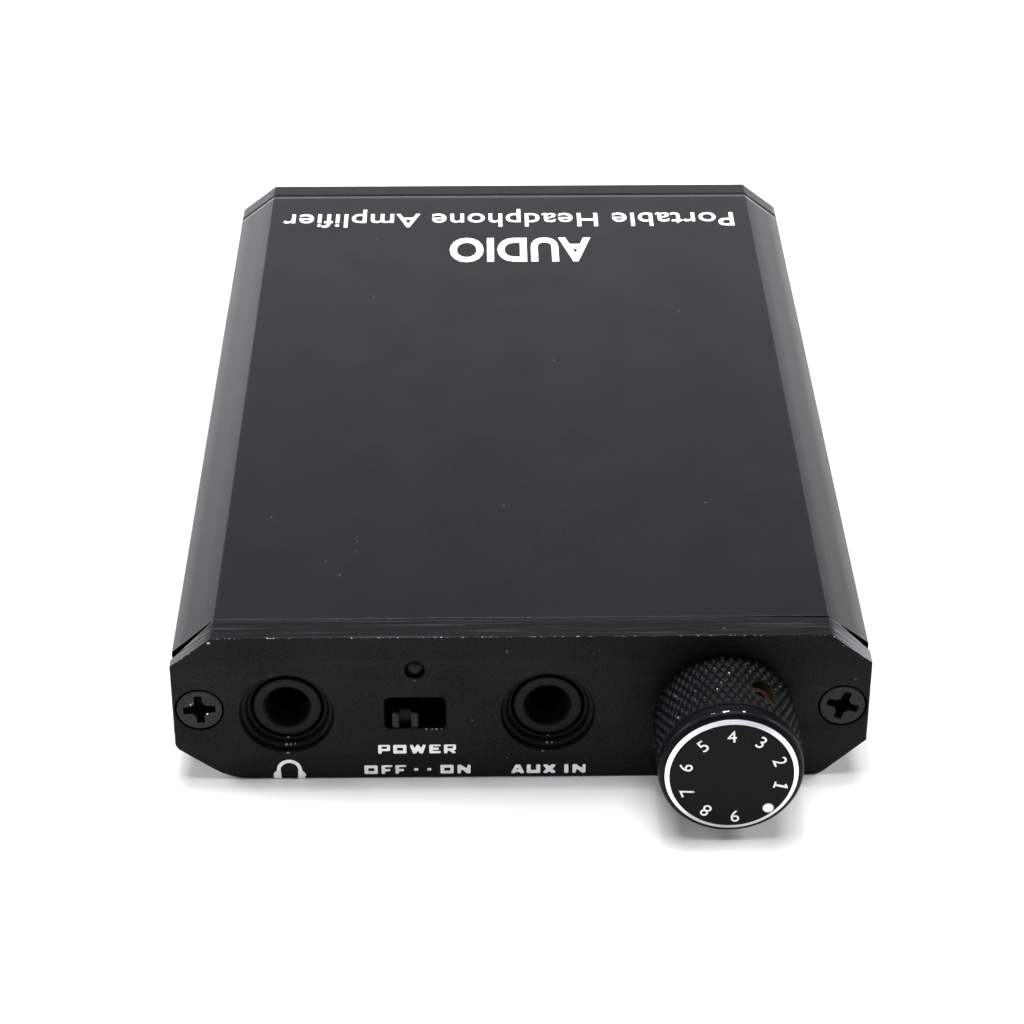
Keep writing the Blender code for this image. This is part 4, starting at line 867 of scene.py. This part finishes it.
knob_front = cad_low.y + print_height
hole_angle, hole_along, hole_radius = math.radians(90 - 28), 5.0 * MM, 1.45 * MM
knurl_count, knurl_length, knurl_depth = 50, 1.6 * MM, 0.2 * MM
knob_radius = 6.7 * MM
around, knurl_rows, painted_glint_row = 14 * knurl_count, 85, 11

knob_front_profile = [
    (0.0, 10.0, 0.0, 0.0),
    (1.0, 10.0, 0.0, 0.0),
    (3.0, 10.0, 0.0, 0.0),
    (5.2, 10.0, 0.0, 0.0),
    (5.65, 10.0, 0.0, 0.0),
    (5.655, 9.998, 0.0, 1.0),
    (6.06, 9.82, 0.0, 1.0),
    (6.065, 9.8, 0.0, 0.0),
    (6.3, 9.72, 0.0, 0.0),
    (6.48, 9.58, 0.0, 0.0),
    (6.58, 9.4, 0.0, 0.0),
    (6.62, 9.25, 0.0, 0.0),
    (6.63, 9.1, 0.0, 0.0),
    (6.63, 8.3, 0.0, 0.0),
    (6.6, 8.22, 0.5, 0.0),
    (6.42, 8.18, 0.2, 0.0),
    (6.42, 7.96, 0.2, 0.0),
    (6.5, 7.9, 0.5, 0.0),
]
knob_back_profile = [
    (6.35, 0.72, 0.2, 0.0),
    (6.1, 0.6, 0.3, 0.0),
    (5.0, 0.6, 0.0, 0.0),
    (5.0, 1.8, 0.0, 0.0),
    (3.1, 1.8, 0.0, 0.0),
    (3.1, 8.75, 0.0, 0.0),
    (0.0, 8.75, 0.0, 0.0),
]


def knurl(angle, along):
    """Depth of the knurl's grooves, from 0 to 1: two families of helices, u and v, leave diamonds whose height falls
    with max(|u|, |v|), the distance from a diamond's middle in pitches. The tops are slightly domed."""
    u = (angle * knurl_count / (2 * math.pi) + along / knurl_length) % 1 - 0.5
    v = (angle * knurl_count / (2 * math.pi) - along / knurl_length) % 1 - 0.5
    away = 2 * np.maximum(np.abs(u), np.abs(v))
    return 0.2 * np.clip(away / 0.35, 0, 1) ** 2 + 0.8 * np.clip((away - 0.35) / 0.5, 0, 1)


def hole_warp(turn, along):
    """Draws the grid's square rings round the set screw's hole into circles. With m = max(|i|, |j|) and e = |(i, j)| in
    steps of the hole's size, a ring is scaled by m / e, and the scaling fades out between m = 1 and m = 1.8. Gives the
    moved turn and distance, and m."""
    i, j = turn * knob_radius / hole_radius, (along - hole_along) / hole_radius
    m, e = np.maximum(np.abs(i), np.abs(j)), np.hypot(i, j)
    scale = np.where(e > 0, m / np.maximum(e, 1e-9), 1.0)
    scale += (1 - scale) * np.clip((m - 1) / 0.8, 0, 1)
    return i * scale * hole_radius / knob_radius, j * scale * hole_radius + hole_along, m


turn = np.linspace(-math.pi, math.pi, around, endpoint=False)
knurl_along = 5.0 + np.linspace(3.0, -4.2, knurl_rows)
knurl_rings = np.stack([np.full(knurl_rows, 6.7), knurl_along, np.zeros(knurl_rows), np.zeros(knurl_rows)], 1)
rows = np.concatenate([knob_front_profile, knurl_rings[2:], knob_back_profile])
knurled = slice(len(knob_front_profile), len(knob_front_profile) + knurl_rows - 2)
radius = np.broadcast_to(rows[:, :1] * MM, (len(rows), around)).copy()
along = np.broadcast_to(rows[:, 1:2] * MM, (len(rows), around)).copy()
turn = np.broadcast_to(turn, (len(rows), around)).copy()
turn[knurled], along[knurled], ring = hole_warp(turn[knurled], along[knurled])
angle = turn + hole_angle
groove = knurl(angle[knurled], along[knurled])
fade = np.clip(np.minimum(7.9 * MM - along[knurled], along[knurled] - 0.8 * MM) / (0.25 * MM), 0.3, 1)
near_hole = np.clip((ring - 0.98) / 0.15, 0.35, 1)
radius[knurled] -= knurl_depth * groove * near_hole + (1 - fade) * 0.12 * MM
radius[knurled] = np.where(ring < 0.9, 3.3 * MM, radius[knurled])
section = np.stack(
    [volume_x + radius * np.cos(angle), axis_z + radius * np.sin(angle), front_y - along + print_height], -1
)
points, index = pole_grid(section)
wear_and_painted_light = np.repeat(rows[:, 2], around).reshape(len(rows), around).copy()
wear_and_painted_light[knurled] = np.where(groove < 0.2, 0.74, 0.1) * (ring > 1)
# Painted glints: three spots on the rim's front get a high value, so they turn to bright bare metal where highlights
# fall.
from_top = np.degrees(math.pi / 2 - angle[painted_glint_row])
painted_glint = (np.abs(from_top + 16.5) < 1.4) | (np.abs(from_top + 6.0) < 2.6) | (np.abs(from_top - 8.0) < 1.4)
wear_and_painted_light[painted_glint_row] = np.where(painted_glint, 1.6, 0.0)
bare = np.repeat(rows[:, 3], around).reshape(len(rows), around).copy()
bare[knurled] = 0.3 * (ring < 0.98)
bare = bare.ravel()
first_used = np.unique(index, return_index=True)[1]
knob = put_mesh("volume_knob_turned", points, skin(index), True, wear_and_painted_light.ravel()[first_used], upright=True)
knob.data.attributes.new("bare", "FLOAT", "POINT").data.foreach_set("value", bare[first_used].astype(np.float32))


def knob_finish(name, specular, grain_scale, bump):
    """Black anodised aluminium with fine turned rings: bare metal at the cut ring and on worn tips, painted glints of
    bare metal on the rim's front, and a dull olive inside the drilled hole."""
    made, tree, shader, place = surface(name, 0.42, 0.0, specular)
    grain = use_group(tree, fine_grain, Place=place, Scale=grain_scale)
    base = blend_colour(tree, ramp(tree, grain["Shade"], 0.3, 0.65), (0.0005, 0.0005, 0.0009), (0.0032, 0.003, 0.0042))
    amount = node(tree, "ShaderNodeAttribute", attribute_name="wear_and_painted_light").outputs["Fac"]
    cut = node(tree, "ShaderNodeAttribute", attribute_name="bare").outputs["Fac"]
    worn = use_group(tree, edge_wear, Place=place, Wear=amount, Scale=2800.0)["Mask"]
    bright = maths(tree, "GREATER_THAN", cut, 0.5)
    drilled = maths(tree, "MULTIPLY", ramp(tree, cut, 0.1, 0.25), maths(tree, "SUBTRACT", 1.0, bright))
    base = blend_colour(tree, drilled, base, (0.013, 0.0125, 0.006))
    metal = maths(tree, "MAXIMUM", bright, worn)
    base, matt = blend_colour(tree, metal, base, (0.9, 0.89, 0.91)), blend_value(tree, metal, 0.42, 0.3)
    from_axis = (volume_x, 0.0, axis_z)
    centred = node(tree, "ShaderNodeVectorMath", {0: place, 1: from_axis}, operation="SUBTRACT").outputs[0]
    turning = node(
        tree,
        "ShaderNodeTexWave",
        {"Vector": centred, "Scale": 2600.0, "Distortion": 0.4, "Detail": 1.0},
        wave_type="RINGS",
        rings_direction="Y",
    )
    lift = blend_value(tree, 0.5, grain["Height"], turning.outputs["Fac"])
    feed(tree, shader, lift, bump, Base_Color=base, Metallic=metal, Roughness=matt)
    return made


knob.data.materials.append(knob_finish("anodised_knob", 0.085, 5000.0, 0.12))
knob.data.materials.append(knob_finish("anodised_knurl", 0.085, 7000.0, 0.9))
middles = np.zeros(3 * len(knob.data.polygons), np.float32)
knob.data.polygons.foreach_get("center", middles)
out_from_axis = np.hypot(middles[0::3] - volume_x, middles[2::3] - axis_z)
back_from_face = middles[1::3] - knob_front
on_side = (out_from_axis > 6.2 * MM) & (back_from_face > 2.1 * MM)
knob.data.polygons.foreach_set("material_index", on_side.astype(np.int32))
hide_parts("volume_knob")
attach(knob, "volume")

# ---------------------------------------------------------------- knob set screw
# A short brass grub screw in the knob's cross hole, tarnished to a reddish brown. Its dished socket end stands a
# little below the knurl.

grub_profile = [(0.0, 5.4), (0.5, 5.42), (0.6, 5.92), (0.95, 6.02), (1.12, 5.98), (1.2, 5.85), (1.2, 3.5), (0.0, 3.45)]
grub_radius, grub_height = np.split(np.array(grub_profile) * MM, 2, 1)
grub_turn = np.linspace(0, 2 * math.pi, 40, endpoint=False)
grub_across = grub_radius * np.cos(grub_turn)
section = np.stack(
    [
        volume_x + grub_height * math.cos(hole_angle) + grub_across * math.sin(hole_angle),
        axis_z + grub_height * math.sin(hole_angle) - grub_across * math.cos(hole_angle),
        front_y - hole_along + print_height + grub_radius * np.sin(grub_turn),
    ],
    -1,
)
points, index = pole_grid(section)
set_screw = put_mesh("knob_set_screw_turned", points, skin(index), True, upright=True)
tarnish, tree, shader, place = surface("tarnished_brass", 0.5, 0.2, 0.1)
grain = use_group(tree, fine_grain, Place=place, Scale=4000.0)
base = blend_colour(tree, ramp(tree, grain["Shade"], 0.3, 0.65), (0.006, 0.0016, 0.0012), (0.032, 0.008, 0.0055))
matt = blend_value(tree, grain["Shade"], 0.35, 0.6)
feed(tree, shader, grain["Height"], 0.4, Base_Color=base, Roughness=matt)
set_screw.data.materials.append(tarnish)
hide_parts("knob_set_screw")
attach(set_screw, "volume")

# ---------------------------------------------------------------- knob numbers
# The numbers 1 to 9 and the low end's dot are screen printed in white on the knob's flat face.


def printed(name, bodies, ink, body):
    """A thin layer of ink: the flat meshes joined, each already in place."""
    piece = put_mesh(name, *joined(*bodies), upright=True)
    piece.data.materials.append(ink)
    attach(piece, body)
    return piece


def letters(text, size, weight=0.0, spacing=1.0):
    """The filled outlines of a line of text, centred, as points and faces in a plane."""
    curve = bpy.data.curves.new("lettering", "FONT")
    curve.body = text
    curve.size = size
    curve.offset = weight
    curve.space_character = spacing
    curve.align_x = "CENTER"
    curve.align_y = "CENTER"
    curve.resolution_u = 4
    curve.extrude = print_height / 2
    holder = bpy.data.objects.new("lettering", curve)
    bpy.context.scene.collection.objects.link(holder)
    bpy.context.view_layer.update()
    mesh = bpy.data.meshes.new_from_object(holder.evaluated_get(bpy.context.evaluated_depsgraph_get()))
    points = np.zeros(len(mesh.vertices) * 3)
    mesh.vertices.foreach_get("co", points)
    faces = [list(polygon.vertices) for polygon in mesh.polygons]
    bpy.data.objects.remove(holder, do_unlink=True)
    points = points.reshape(-1, 3)
    points[:, :2] -= (points[:, :2].max(0) + points[:, :2].min(0)) / 2
    return points, faces, [False] * len(faces), np.zeros(len(points))


def stood_up(mesh, centre, turn, depth, stretch=(1.0, 1.0)):
    """A flat mesh turned clockwise by an angle and stood in X and Z at a depth."""
    points = mesh[0] * (*stretch, 1.0)
    c, s = math.cos(turn), math.sin(turn)
    across = centre[0] + c * points[:, 0] + s * points[:, 1]
    up = centre[1] - s * points[:, 0] + c * points[:, 1]
    faces = [face[::-1] for face in mesh[1]]
    return np.stack([across, up, depth - points[:, 2]], 1), faces, mesh[2], mesh[3]


white_ink, tree, shader, place = surface("white_ink", 0.5, 0.0, 0.4)
grain = use_group(tree, fine_grain, Place=place, Scale=4000.0)
base = blend_colour(tree, ramp(tree, grain["Shade"], 0.15, 0.5), (0.88, 0.9, 0.9), (0.96, 0.97, 0.97))
matt = blend_value(tree, grain["Shade"], 0.45, 0.6)
feed(tree, shader, grain["Height"], 0.2, 0.01 * MM, Base_Color=base, Roughness=matt)


def thickened(outline):
    """A flat outline that turns left, made a closed layer of ink: a face on each side and a wall along each edge."""
    count = len(outline)
    upper = end_face([outline], [0], True)
    near = np.arange(count)
    ahead = np.roll(near, -1)
    walls = np.stack([near, ahead, ahead + count, near + count], 1)
    faces = upper[:, ::-1].tolist() + (upper + count).tolist() + walls.tolist()
    heights = (-print_height / 2, print_height / 2)
    points = np.concatenate([np.column_stack([outline, np.full(count, height)]) for height in heights])
    return points, faces, [False] * len(faces), np.zeros(2 * count)


one = [(-0.13, -0.5), (-0.36, -0.5), (-0.36, -0.66), (0.32, -0.66), (0.32, -0.5), (0.1, -0.5), (0.1, 0.66)]
one += [(-0.04, 0.66), (-0.36, 0.42), (-0.28, 0.27), (-0.13, 0.36)]
one_body = thickened(np.array(one) * MM)
number_radius, dot_radius, dot_turn = 4.47 * MM, 4.85 * MM, math.radians(137)
number_depth = knob_front - print_height / 2
print_x, print_z = volume_x + 0.16 * MM, axis_z - 0.14 * MM
numbers = []
for number in range(1, 10):
    turn = math.radians(-4 + 36 * (4 - number))
    centre = (print_x + number_radius * math.sin(turn), print_z + number_radius * math.cos(turn))
    body = one_body if number == 1 else letters(str(number), 1.82 * MM)
    numbers.append(stood_up(body, centre, turn, number_depth))
dot_centre = (print_x + dot_radius * math.sin(dot_turn), print_z + dot_radius * math.cos(dot_turn))
dot_profile = [(0.5 * MM, cad_low.y, 0.0), (0.5 * MM, cad_low.y + print_height, 0.0)]
numbers.append(solid(ringed(dot_centre, dot_profile, 40)))
knob_numbers = printed("knob_numbers", numbers, white_ink, "volume")

# ---------------------------------------------------------------- front labels
# Generic control labels, screen printed in white in wide, squared capitals: power, off and on, auxiliary input, and
# a headphone sign under the left jack.

s, h = 0.33, 1.0  # width of the strokes, and height of the capitals
f_arms = [(0.78, 0.3), (0.86, 0.56), (s, 0.56), (s, 0.8), (1.0, 0.8), (1.05, h), (0, h)]
e_arms = [(1.08, 0.27), (s, 0.27), (s, 0.41), (0.9, 0.41), (0.9, 0.67), (s, 0.67), (s, 0.82), (1.08, 0.82), (1.08, h)]
r_leg = [(0.5, 0.3), (0.82, 0), (1.22, 0), (0.9, 0.32), (1.14, 0.42), (1.14, h), (0, h)]
w_half = [(0.77, 0.42), (0.92, 0), (1.24, 0), (1.54, h), (1.23, h), (1.07, 0.5), (0.9, h)]
n_right = [(0.9, 0), (1.24, 0), (1.24, h), (0.95, h), (0.95, 0.5), (0.34, h), (0, h)]
x_half = [(0.66, 0.24), (0.86, 0), (1.34, 0), (0.96, 0.5), (1.34, h), (0.86, h), (0.66, 0.76)]
capitals = {  # letter: width, outline and holes, in mm from its lower left corner
    "O": (1.25, [(0, 0), (1.25, 0), (1.25, h), (0, h)], [[(s + 0.03, s), (0.93, s), (0.93, h - s), (s + 0.03, h - s)]]),
    "P": (
        1.12,
        [(0, 0), (s, 0), (s, 0.3), (1.12, 0.3), (1.12, h), (0, h)],
        [[(s, 0.55), (0.83, 0.55), (0.83, 0.82), (s, 0.82)]],
    ),
    "F": (1.05, [(0, 0), (s, 0), (s, 0.3), *f_arms], []),
    "E": (1.08, [(0, 0), (1.08, 0), *e_arms, (0, h)], []),
    "R": (1.17, [(0, 0), (s, 0), (s, 0.3), *r_leg], [[(s, 0.56), (0.85, 0.56), (0.85, 0.82), (s, 0.82)]]),
    "W": (1.54, w_half + [(1.54 - x, z) for x, z in reversed(w_half[1:])], []),
    "N": (1.24, [(0, 0), (s, 0), (s, 0.58), *n_right], []),
    "A": (
        1.32,
        [(0, 0), (0.4, 0), (0.5, 0.14), (0.82, 0.14), (0.92, 0), (1.32, 0), (0.9, h), (0.46, h)],
        [[(0.57, 0.42), (0.75, 0.42), (0.7, 0.6), (0.63, 0.6)]],
    ),
    "U": (1.28, [(0, 0), (1.28, 0), (1.28, h), (0.9, h), (0.9, 0.36), (0.38, 0.36), (0.38, h), (0, h)], []),
    "X": (1.32, x_half + [(1.32 - x, z) for x, z in reversed(x_half[1:-1])], []),
    "I": (0.4, [(0, 0), (0.4, 0), (0.4, h), (0, h)], []),
    "-": (0.46, [(0, 0.34), (0.4, 0.34), (0.46, 0.64), (0.06, 0.64)], []),
}


def ink_sweep(corners, left, bottom, radius):
    """An outline in mm, placed on the front plate and carried through the ink's thickness."""
    depth = [(0.0, front_y - print_height, 0.0), (0.0, front_y, 0.0)]
    return carried([(left + x * MM, bottom + z * MM) for x, z in corners], radius, depth)


def label(text, gaps, left, bottom):
    """A line of capitals, with the gap after each in mm."""
    shapes = []
    for letter, gap in zip(text, gaps):
        width, outline, holes = capitals[letter]
        inner = [ink_sweep(hole, left, bottom, 0.05 * MM) for hole in holes]
        shapes.append(solid(ink_sweep(outline, left, bottom, 0.12 * MM), *inner))
        left += (width + gap) * MM
    return shapes


power_label = printed("power_label", label("POWER", (0.3,) * 5, -13.47 * MM, 2.84 * MM), white_ink, "case")
off_on_label = printed(
    "off_on_label", label("OFF--ON", (0.37, 0.26, 0.68, 0.78, 0.82, 0.36, 0), -14.82 * MM, 0.47 * MM), white_ink, "case"
)
aux_label = printed("aux_label", label("AUXIN", (0.2, 0.2, 0.75, 0.38, 0), -1.0 * MM, 0.44 * MM), white_ink, "case")

sign_turn = np.linspace(0, math.pi, 21)
bend = np.stack([np.cos(sign_turn), np.sin(sign_turn)], 1)
right_cup = np.array([(1.2, 0.92), (1.32, 0.78), (1.52, 0.52), (1.55, 0.36), (1.42, 0.06), (1.3, 0.0), (0.77, 0.0)])
left_cup = np.array([(-0.77, 0.0), (-1.38, 0.0), (-1.5, 0.12), (-1.53, 0.45), (-1.42, 0.72), (-1.22, 0.86)])
arch = np.concatenate([0.83 * bend + (0, 0.98), left_cup, 1.19 * bend[::-1] + (0, 0.98), right_cup])[::-1]
arch = arch * MM + (headphone_x, 0.03 * MM)
arch_section = np.stack([np.column_stack([arch, np.full(len(arch), y)]) for y in (front_y - print_height, front_y)])
sign_shape = solid((arch_section, np.zeros(2 * len(arch)), np.zeros(len(arch), bool)))
headphone_sign = printed("headphone_sign", [sign_shape], white_ink, "case")

# ---------------------------------------------------------------- print on the top
# Two generic lines, printed in white near the rear and meant to be read from there: what the thing is, and a word
# in heavy capitals.


def laid_down(mesh, centre, stretch=(1.0, 1.0)):
    """A flat mesh laid on the top and turned half round, so that it reads from the rear."""
    points = mesh[0] * (*stretch, 1.0)
    return (
        np.stack([centre[0] - points[:, 0], centre[1] - points[:, 1], case_top - print_height / 2 + points[:, 2]], 1),
        mesh[1],
        mesh[2],
        mesh[3],
    )


top_lines = []
for text, centre, size, weight, wanted in (
    ("Portable Headphone Amplifier", (-0.2, 89.2), 5.2, 0.05, 53.6),
    ("AUDIO", (1.1, 80.6), 8.4, 0.28, 16.5),
):
    line = letters(text, size * MM, weight * MM, 1.05)
    width = np.ptp(line[0][:, 0])
    top_lines.append(laid_down(line, (centre[0] * MM, front_y + centre[1] * MM), (wanted * MM / width, 1.0)))
top_print = put_mesh("top_print", *joined(*top_lines))
top_print.data.materials.append(white_ink)
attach(top_print, "case")

# ---------------------------------------------------------------- metal, board and plastic inside
# The pieces that the case hides keep the CAD's shapes. Each has the finish of the real one: tinned steel, stamped
# brass, green solder mask, brown laminate, and so on. The switch frame and the jack collars are the exception: they
# are painted near black as shade.


def plain_finish(name, dark, light, roughness, metallic=0.0, scale=2500.0, bump=0.2, stretch=(1.0, 1.0, 1.0)):
    """A finish whose colour and roughness wander between two values, with drawn or even grain."""
    made, tree, shader, place = surface(name, roughness, metallic)
    grain = use_group(tree, fine_grain, Place=place, Scale=scale)
    drawn = use_group(tree, streaks, Place=place, Stretch=tuple(400.0 * s for s in stretch))["Value"]
    shade = blend_value(tree, 0.5, grain["Shade"], drawn)
    base = blend_colour(tree, ramp(tree, shade, 0.3, 0.65), dark, light)
    matt = blend_value(tree, shade, roughness - 0.08, roughness + 0.1)
    feed(tree, shader, grain["Height"], bump, Base_Color=base, Roughness=matt)
    return made


tinned = plain_finish("tinned_steel", (0.36, 0.35, 0.33), (0.62, 0.61, 0.58), 0.34, 1.0, stretch=(1, 6, 1))
# The switch frame is tinned steel, but is painted near black as the shade inside the slot.
frame_painted_shade = plain_finish("frame_painted_shade", (0.008, 0.008, 0.008), (0.035, 0.035, 0.033), 0.42, 1.0, stretch=(6, 1, 1))
brass = plain_finish("stamped_brass", (0.42, 0.27, 0.1), (0.66, 0.46, 0.2), 0.36, 1.0)
# The jack collars are tinned, but are painted near black as the shade deep in the bore.
collar_painted_shade = plain_finish("jack_collar_painted_shade", (0.003, 0.003, 0.003), (0.012, 0.012, 0.0118), 0.5, 1.0)
laminate = plain_finish("brown_laminate", (0.05, 0.022, 0.009), (0.11, 0.05, 0.022), 0.6, stretch=(8, 1, 1))
white_plastic = plain_finish("white_plastic", (0.6, 0.58, 0.52), (0.76, 0.74, 0.68), 0.45)
black_plastic = plain_finish("black_plastic", (0.014, 0.014, 0.014), (0.03, 0.03, 0.03), 0.5)
ferrite = plain_finish("ferrite", (0.02, 0.02, 0.022), (0.05, 0.05, 0.055), 0.6, scale=4000.0, bump=0.5)
red_cover = plain_finish("red_cover", (0.38, 0.01, 0.01), (0.52, 0.02, 0.02), 0.4)
black_cover = plain_finish("black_cover", (0.012, 0.012, 0.012), (0.026, 0.026, 0.026), 0.4)
can_metal = plain_finish("can_metal", (0.5, 0.5, 0.5), (0.72, 0.72, 0.72), 0.28, 1.0, stretch=(1, 1, 8))
pouch = plain_finish("cell_pouch", (0.45, 0.46, 0.49), (0.66, 0.67, 0.7), 0.34, 0.8, scale=700.0, bump=0.7)
foam = plain_finish("foam_tape", (0.015, 0.015, 0.015), (0.06, 0.06, 0.06), 0.9, scale=1800.0, bump=1.0)

mask_green, tree, shader, place = surface("solder_mask", 0.32)
cells = node(tree, "ShaderNodeTexBrick", {"Vector": place, "Scale": 90.0, "Mortar Size": 0.035, "Brick Width": 0.9})
pads = node(tree, "ShaderNodeTexVoronoi", {"Vector": place, "Scale": 420.0, "Randomness": 0.7})
pad_dot = maths(tree, "LESS_THAN", pads.outputs["Distance"], 0.16)
weave = use_group(tree, fine_grain, Place=place, Scale=2200.0)
green = blend_colour(tree, ramp(tree, weave["Shade"], 0.2, 0.6), (0.006, 0.06, 0.022), (0.012, 0.1, 0.04))
green = blend_colour(tree, cells.outputs["Fac"], green, (0.02, 0.16, 0.06))
base, matt = blend_colour(tree, pad_dot, green, (0.7, 0.6, 0.4)), blend_value(tree, weave["Shade"], 0.25, 0.42)
lift = maths(tree, "ADD", cells.outputs["Fac"], pad_dot)
feed(tree, shader, lift, 0.4, 0.04 * MM, Base_Color=base, Metallic=pad_dot, Roughness=matt)

finishes = {
    "circuit_board": mask_green,
    "battery_protection_board": mask_green,
    "power_switch_frame": frame_painted_shade,
    "headphone_jack_ground_collar": collar_painted_shade,
    "aux_jack_ground_collar": collar_painted_shade,
    "power_switch_base": laminate,
    "power_switch_bridge": brass,
    "volume_control_track": laminate,
    "volume_control_wiper": brass,
    "battery_cell": pouch,
    "battery_foam_pad": foam,
    "battery_socket": white_plastic,
    "battery_plug": white_plastic,
    "battery_lead_red": red_cover,
    "battery_lead_black": black_cover,
    "charger_coil": ferrite,
    "charging_socket_tongue": black_plastic,
    "left_coupling_capacitor": white_plastic,
    "right_coupling_capacitor": white_plastic,
}
for name, cad_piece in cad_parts.items():
    if cad_piece.hide_render:
        continue
    finish = finishes.get(name, tinned)
    if name.endswith("_chip"):
        finish = black_plastic
    if name.startswith("supply_capacitor"):
        finish = can_metal
    cad_piece.data.materials.clear()
    cad_piece.data.materials.append(finish)

# ---------------------------------------------------------------- floor, light and camera
# A white paper sheet, a wide soft lamp above and a little behind, a small one for the glints, two lamps at the sides,
# and a pale room that is brightest at its horizon and dimmer to both sides.

floor_half, floor_z = 3.0, -0.02 * MM
floor_corners = np.array([(x * floor_half, y * floor_half, floor_z) for x, y in ((-1, -1), (1, -1), (1, 1), (-1, 1))])
floor = put_mesh("floor", floor_corners, [[0, 1, 2, 3]], False)
floor_white, tree, shader, place = surface("floor_white", 0.9, 0.0, 0.1)
paper = node(tree, "ShaderNodeTexNoise", {"Vector": place, "Scale": 40.0})
white = blend_colour(tree, paper.outputs["Fac"], (0.86, 0.86, 0.86), (0.88, 0.88, 0.88))
tree.links.new(white, shader.inputs["Base Color"])
floor.data.materials.append(floor_white)

world = bpy.data.worlds.new("studio")
world.use_nodes = True
bpy.context.scene.world = world
sky = world.node_tree
direction = sky.nodes.new("ShaderNodeTexCoord").outputs["Generated"]
height = node(sky, "ShaderNodeSeparateXYZ", {0: direction}).outputs["Z"]
glow = node(sky, "ShaderNodeValToRGB", {"Fac": height})
stops = glow.color_ramp.elements
stops[0].position, stops[0].color = 0.0, (1.0, 1.0, 1.0, 1.0)
stops[1].position, stops[1].color = 0.75, (0.05, 0.05, 0.05, 1.0)
for position, value in ((0.09, 0.92), (0.15, 0.66), (0.4, 0.6), (0.5, 0.38), (0.6, 0.16)):
    stops.new(position).color = (value, value, value, 1.0)
sideways = node(sky, "ShaderNodeSeparateXYZ", {0: direction}).outputs["X"]
dimmer_sides = maths(sky, "MULTIPLY", ramp(sky, maths(sky, "ABSOLUTE", sideways), 0.42, 0.7), -0.75)
dimmer_right = maths(sky, "MULTIPLY", ramp(sky, sideways, 0.12, 0.45), -0.48)
even = maths(sky, "MULTIPLY", maths(sky, "ADD", dimmer_sides, 1.0), maths(sky, "ADD", dimmer_right, 1.0))
strength = maths(sky, "MULTIPLY", maths(sky, "MULTIPLY", glow.outputs["Color"], even), 1.15)
sky.links.new(strength, sky.nodes["Background"].inputs["Strength"])
sky.nodes["Background"].inputs["Color"].default_value = (0.97, 0.97, 1.05, 1.0)

for name, place_at, size, power in (
    ("softbox", (0.0, 0.12, 1.0), 0.75, 13.5),
    ("small_lamp", (-0.04, 0.05, 0.9), 0.04, 1.2),
    ("left_lamp", (-1.2, 0.3, 0.7), 0.6, 15.0),
    ("right_lamp", (1.2, 0.3, 0.7), 0.6, 15.0),
):
    lamp_data = bpy.data.lights.new(name, "AREA")
    lamp_data.size = size
    lamp_data.energy = power
    lamp = bpy.data.objects.new(name, lamp_data)
    lamp.location = place_at
    lamp.rotation_euler = (-Vector(place_at)).to_track_quat("-Z", "Y").to_euler()
    bpy.context.scene.collection.objects.link(lamp)

camera_data = bpy.data.cameras.new("camera")
camera_data.lens = 97.45
camera_data.sensor_width = 36.0
camera_data.clip_start = 0.01
camera = bpy.data.objects.new("camera", camera_data)
camera.location = (-0.00345, -0.2603, 0.1584)
yaw, pitch = math.radians(0.7), math.radians(31.43)
camera.rotation_euler = (math.pi / 2 - pitch, 0.0, -yaw)
bpy.context.scene.collection.objects.link(camera)
bpy.context.scene.camera = camera
bpy.context.scene.view_settings.view_transform = "Standard"
